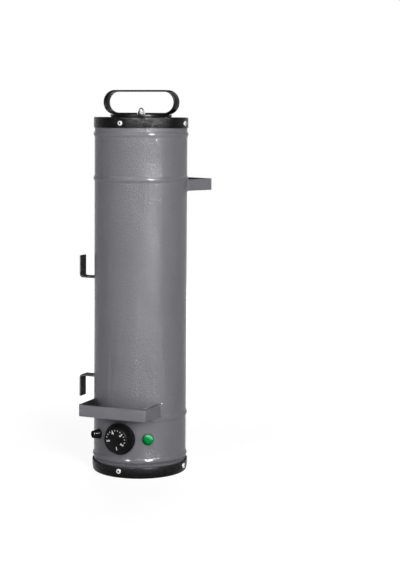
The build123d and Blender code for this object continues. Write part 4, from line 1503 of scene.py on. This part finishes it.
class OVEN_OT_stage(bpy.types.Operator):
    """Set the pale floor, the soft lamps, the white world and the camera"""

    bl_idname = "oven.stage"
    bl_label = "Studio"

    camera_azimuth: angle("Camera azimuth", 23.07, "Angle from the dial")
    camera_distance: length("Camera distance", 2.496, "From the oven's axis")
    camera_height: length("Camera height", 0.6194, "Over the floor")
    camera_aside: length("Camera offset", 0.1022, "How far right of the axis the camera stands")
    camera_tilt: angle("Camera tilt", 3.2, "Angle below level")
    camera_roll: angle("Camera roll", 0.37, "Angle to the left")
    lens: number("Lens", 91.31, "Focal length in millimetres")
    shift: number("Shift", -0.16, "Vertical shift of the frame")
    floor_reach: length("Floor", 6.0, "From the oven to the floor's sides")
    shade_reach: length("Shade reach", 0.25, "How far from the oven the floor is least white")
    white_reach: length("White reach", 1.2, "How far from the oven the floor is all white")
    shade_glow: share("Shade glow", 0.86, "How white the floor is next to the oven")
    ambient: number("Ambient", 0.01, "Strength of the world's light")
    key_aside: angle("Key side", 20, "How far the key lamp stands to the camera's right")
    fill_aside: angle("Fill side", 28, "How far the fill lamp stands to the camera's left")
    glint_aside: angle("Glint side", 7, "From the key lamp to its highlight strip")
    lamp_distance: length("Lamp distance", 2.3, "From the oven's axis to the front lamps")
    key_power: number("Key", 35.0, "Key lamp in watts")
    fill_power: number("Fill", 12.0, "Fill lamp in watts")
    key_glint: number("Key glint", 1900.0, "Key highlight strip in watts")
    fill_glint: number("Fill glint", 400.0, "Fill highlight strip in watts")
    back_power: number("Back", 34.0, "Back lamp in watts")

    def execute(self, context):
        scene = context.scene
        scene.view_settings.view_transform = "Standard"
        self.floor()
        self.world(scene)
        key = self.camera_azimuth + self.key_aside
        fill = self.camera_azimuth - self.fill_aside
        self.lamp("key_lamp", key, height=0.90, area=(0.5, 1.0), power=self.key_power)
        self.lamp("fill_lamp", fill, height=0.90, area=(0.4, 1.0), power=self.fill_power)
        back = self.lamp(
            "back_lamp", self.camera_azimuth + HALF_TURN, height=1.20, area=(1.6, 1.2),
            power=self.back_power, distance=2.6,
        )
        back.visible_glossy = False
        glint = {"height": 1.50, "highlights_on": self.highlighted_pieces()}
        aside = key + self.glint_aside
        self.lamp("key_glint", aside, area=(0.50, 0.9), power=self.key_glint, **glint)
        self.lamp("fill_glint", fill, area=(0.30, 0.9), power=self.fill_glint, **glint)
        self.camera(scene)
        return {"FINISHED"}

    def by_ray(self, tree, kind, light, background):
        """Show the background to the rays that look at it, and the plain shader to the others."""
        path = add(tree, "LightPath").outputs
        seen = math_of(tree, "MAXIMUM", path["Is Camera Ray"], path["Is Glossy Ray"])
        seen = math_of(tree, "MAXIMUM", seen, path["Is Transmission Ray"])
        mixed = add(tree, "MixShader", {0: seen, 1: light.outputs[0], 2: background.outputs[0]})
        add(tree, kind, {"Surface": mixed.outputs["Shader"]})

    def floor(self):
        bm = bmesh.new()
        bmesh.ops.create_grid(bm, x_segments=2, y_segments=2, size=self.floor_reach)
        mesh = mesh_from(bm, "studio_floor")
        made = bpy.data.materials.new("floor_white")
        made.use_nodes = True
        tree = made.node_tree
        tree.nodes.clear()
        matt = add(tree, "BsdfDiffuse", {"Color": rgba((0.9, 0.9, 0.9))})
        reach = vector_of(tree, "LENGTH", here(tree))
        glow = span(tree, reach, self.shade_reach, self.white_reach, self.shade_glow, 1.0)
        pale = add(tree, "BsdfDiffuse", {"Color": rgba((0.32, 0.32, 0.32))})
        white = add(tree, "Emission", {"Color": rgba((1, 1, 1)), "Strength": glow})
        seen = add(tree, "AddShader", {0: pale.outputs["BSDF"], 1: white.outputs["Emission"]})
        self.by_ray(tree, "OutputMaterial", matt, seen)
        made.cycles.emission_sampling = "NONE"
        mesh.materials.append(made)
        new_object("studio_floor", mesh)

    def world(self, scene):
        world = bpy.data.worlds.new("studio_world")
        world.use_nodes = True
        tree = world.node_tree
        tree.nodes.clear()
        light = add(tree, "Background", {"Color": rgba((1, 1, 1)), "Strength": self.ambient})
        white = add(tree, "Background", {"Color": rgba((1, 1, 1)), "Strength": 1.0})
        self.by_ray(tree, "OutputWorld", light, white)
        world.cycles.sampling_method = "NONE"
        scene.world = world

    def highlighted_pieces(self):
        """The painted and moulded pieces, which are the ones that the highlight strips reach."""
        reached = bpy.data.collections.new("highlighted_pieces")
        names = {coat + "_finish" for coat in HIGHLIGHTED}
        for made in bpy.context.scene.objects:
            if made.type == "MESH" and made.data.materials and made.data.materials[0].name in names:
                reached.objects.link(made)
        return reached

    def lamp(self, name, azimuth, height, area, power, distance=None, highlights_on=None):
        """A soft lamp aimed at the oven's middle, or one only for some pieces' highlights."""
        data = bpy.data.lights.new(name, "AREA")
        data.shape = "RECTANGLE"
        data.size, data.size_y = area
        data.energy = power
        lamp = new_object(name, data)
        if highlights_on:
            lamp.visible_diffuse = False
            lamp.light_linking.receiver_collection = highlights_on
        place = radial_place(azimuth, distance or self.lamp_distance, height)
        lamp.location = place.translation
        aim = Vector((0, 0, high("outer_shell").z / 2)) - lamp.location
        lamp.rotation_euler = aim.to_track_quat("-Z", "Y").to_euler()
        return lamp

    def camera(self, scene):
        data = bpy.data.cameras.new("photo_camera")
        data.lens = self.lens
        data.sensor_width = 36.0
        data.shift_y = self.shift
        camera = new_object("photo_camera", data)
        place = radial_place(self.camera_azimuth, self.camera_distance, self.camera_height)
        camera.location = place @ Vector((self.camera_aside, 0, 0))
        aim = Matrix.Rotation(self.camera_azimuth, 3, "Z")
        aim = aim @ Matrix.Rotation(QUARTER_TURN - self.camera_tilt, 3, "X")
        camera.rotation_euler = (aim @ Matrix.Rotation(self.camera_roll, 3, "Z")).to_euler()
        scene.camera = camera


class OVEN_PT_panel(bpy.types.Panel):
    """Lists the oven's pieces, sizes and finishes"""

    bl_label = "Welding electrode oven"
    bl_idname = "OVEN_PT_panel"
    bl_space_type = "VIEW_3D"
    bl_region_type = "UI"
    bl_category = "Oven"

    def draw(self, context):
        for operator in OPERATORS:
            self.layout.operator(operator.bl_idname)
        for group in (context.scene.oven_sizes, context.scene.oven_finish):
            box = self.layout.box()
            for name in group.__annotations__:
                box.prop(group, name)


OPERATORS = (
    OVEN_OT_shell, OVEN_OT_screws, OVEN_OT_brackets, OVEN_OT_dial, OVEN_OT_lamp, OVEN_OT_gland,
    OVEN_OT_lid, OVEN_OT_nuts, OVEN_OT_lifter, OVEN_OT_inside, OVEN_OT_stage,
)
CLASSES = (OvenSizes, OvenFinish, *OPERATORS, OVEN_PT_panel)


def register():
    for made in CLASSES:
        bpy.utils.register_class(made)
    bpy.types.Scene.oven_sizes = bpy.props.PointerProperty(type=OvenSizes)
    bpy.types.Scene.oven_finish = bpy.props.PointerProperty(type=OvenFinish)


def unregister():
    del bpy.types.Scene.oven_finish
    del bpy.types.Scene.oven_sizes
    for made in reversed(CLASSES):
        bpy.utils.unregister_class(made)


def main():
    register()
    bpy.ops.oven.shell()
    bpy.ops.oven.screws()
    bpy.ops.oven.brackets()
    bpy.ops.oven.dial()
    bpy.ops.oven.lamp()
    bpy.ops.oven.gland()
    bpy.ops.oven.lid()
    bpy.ops.oven.nuts()
    bpy.ops.oven.lifter()
    bpy.ops.oven.inside()
    bpy.ops.oven.stage()


if __name__ == "__main__":
    main()
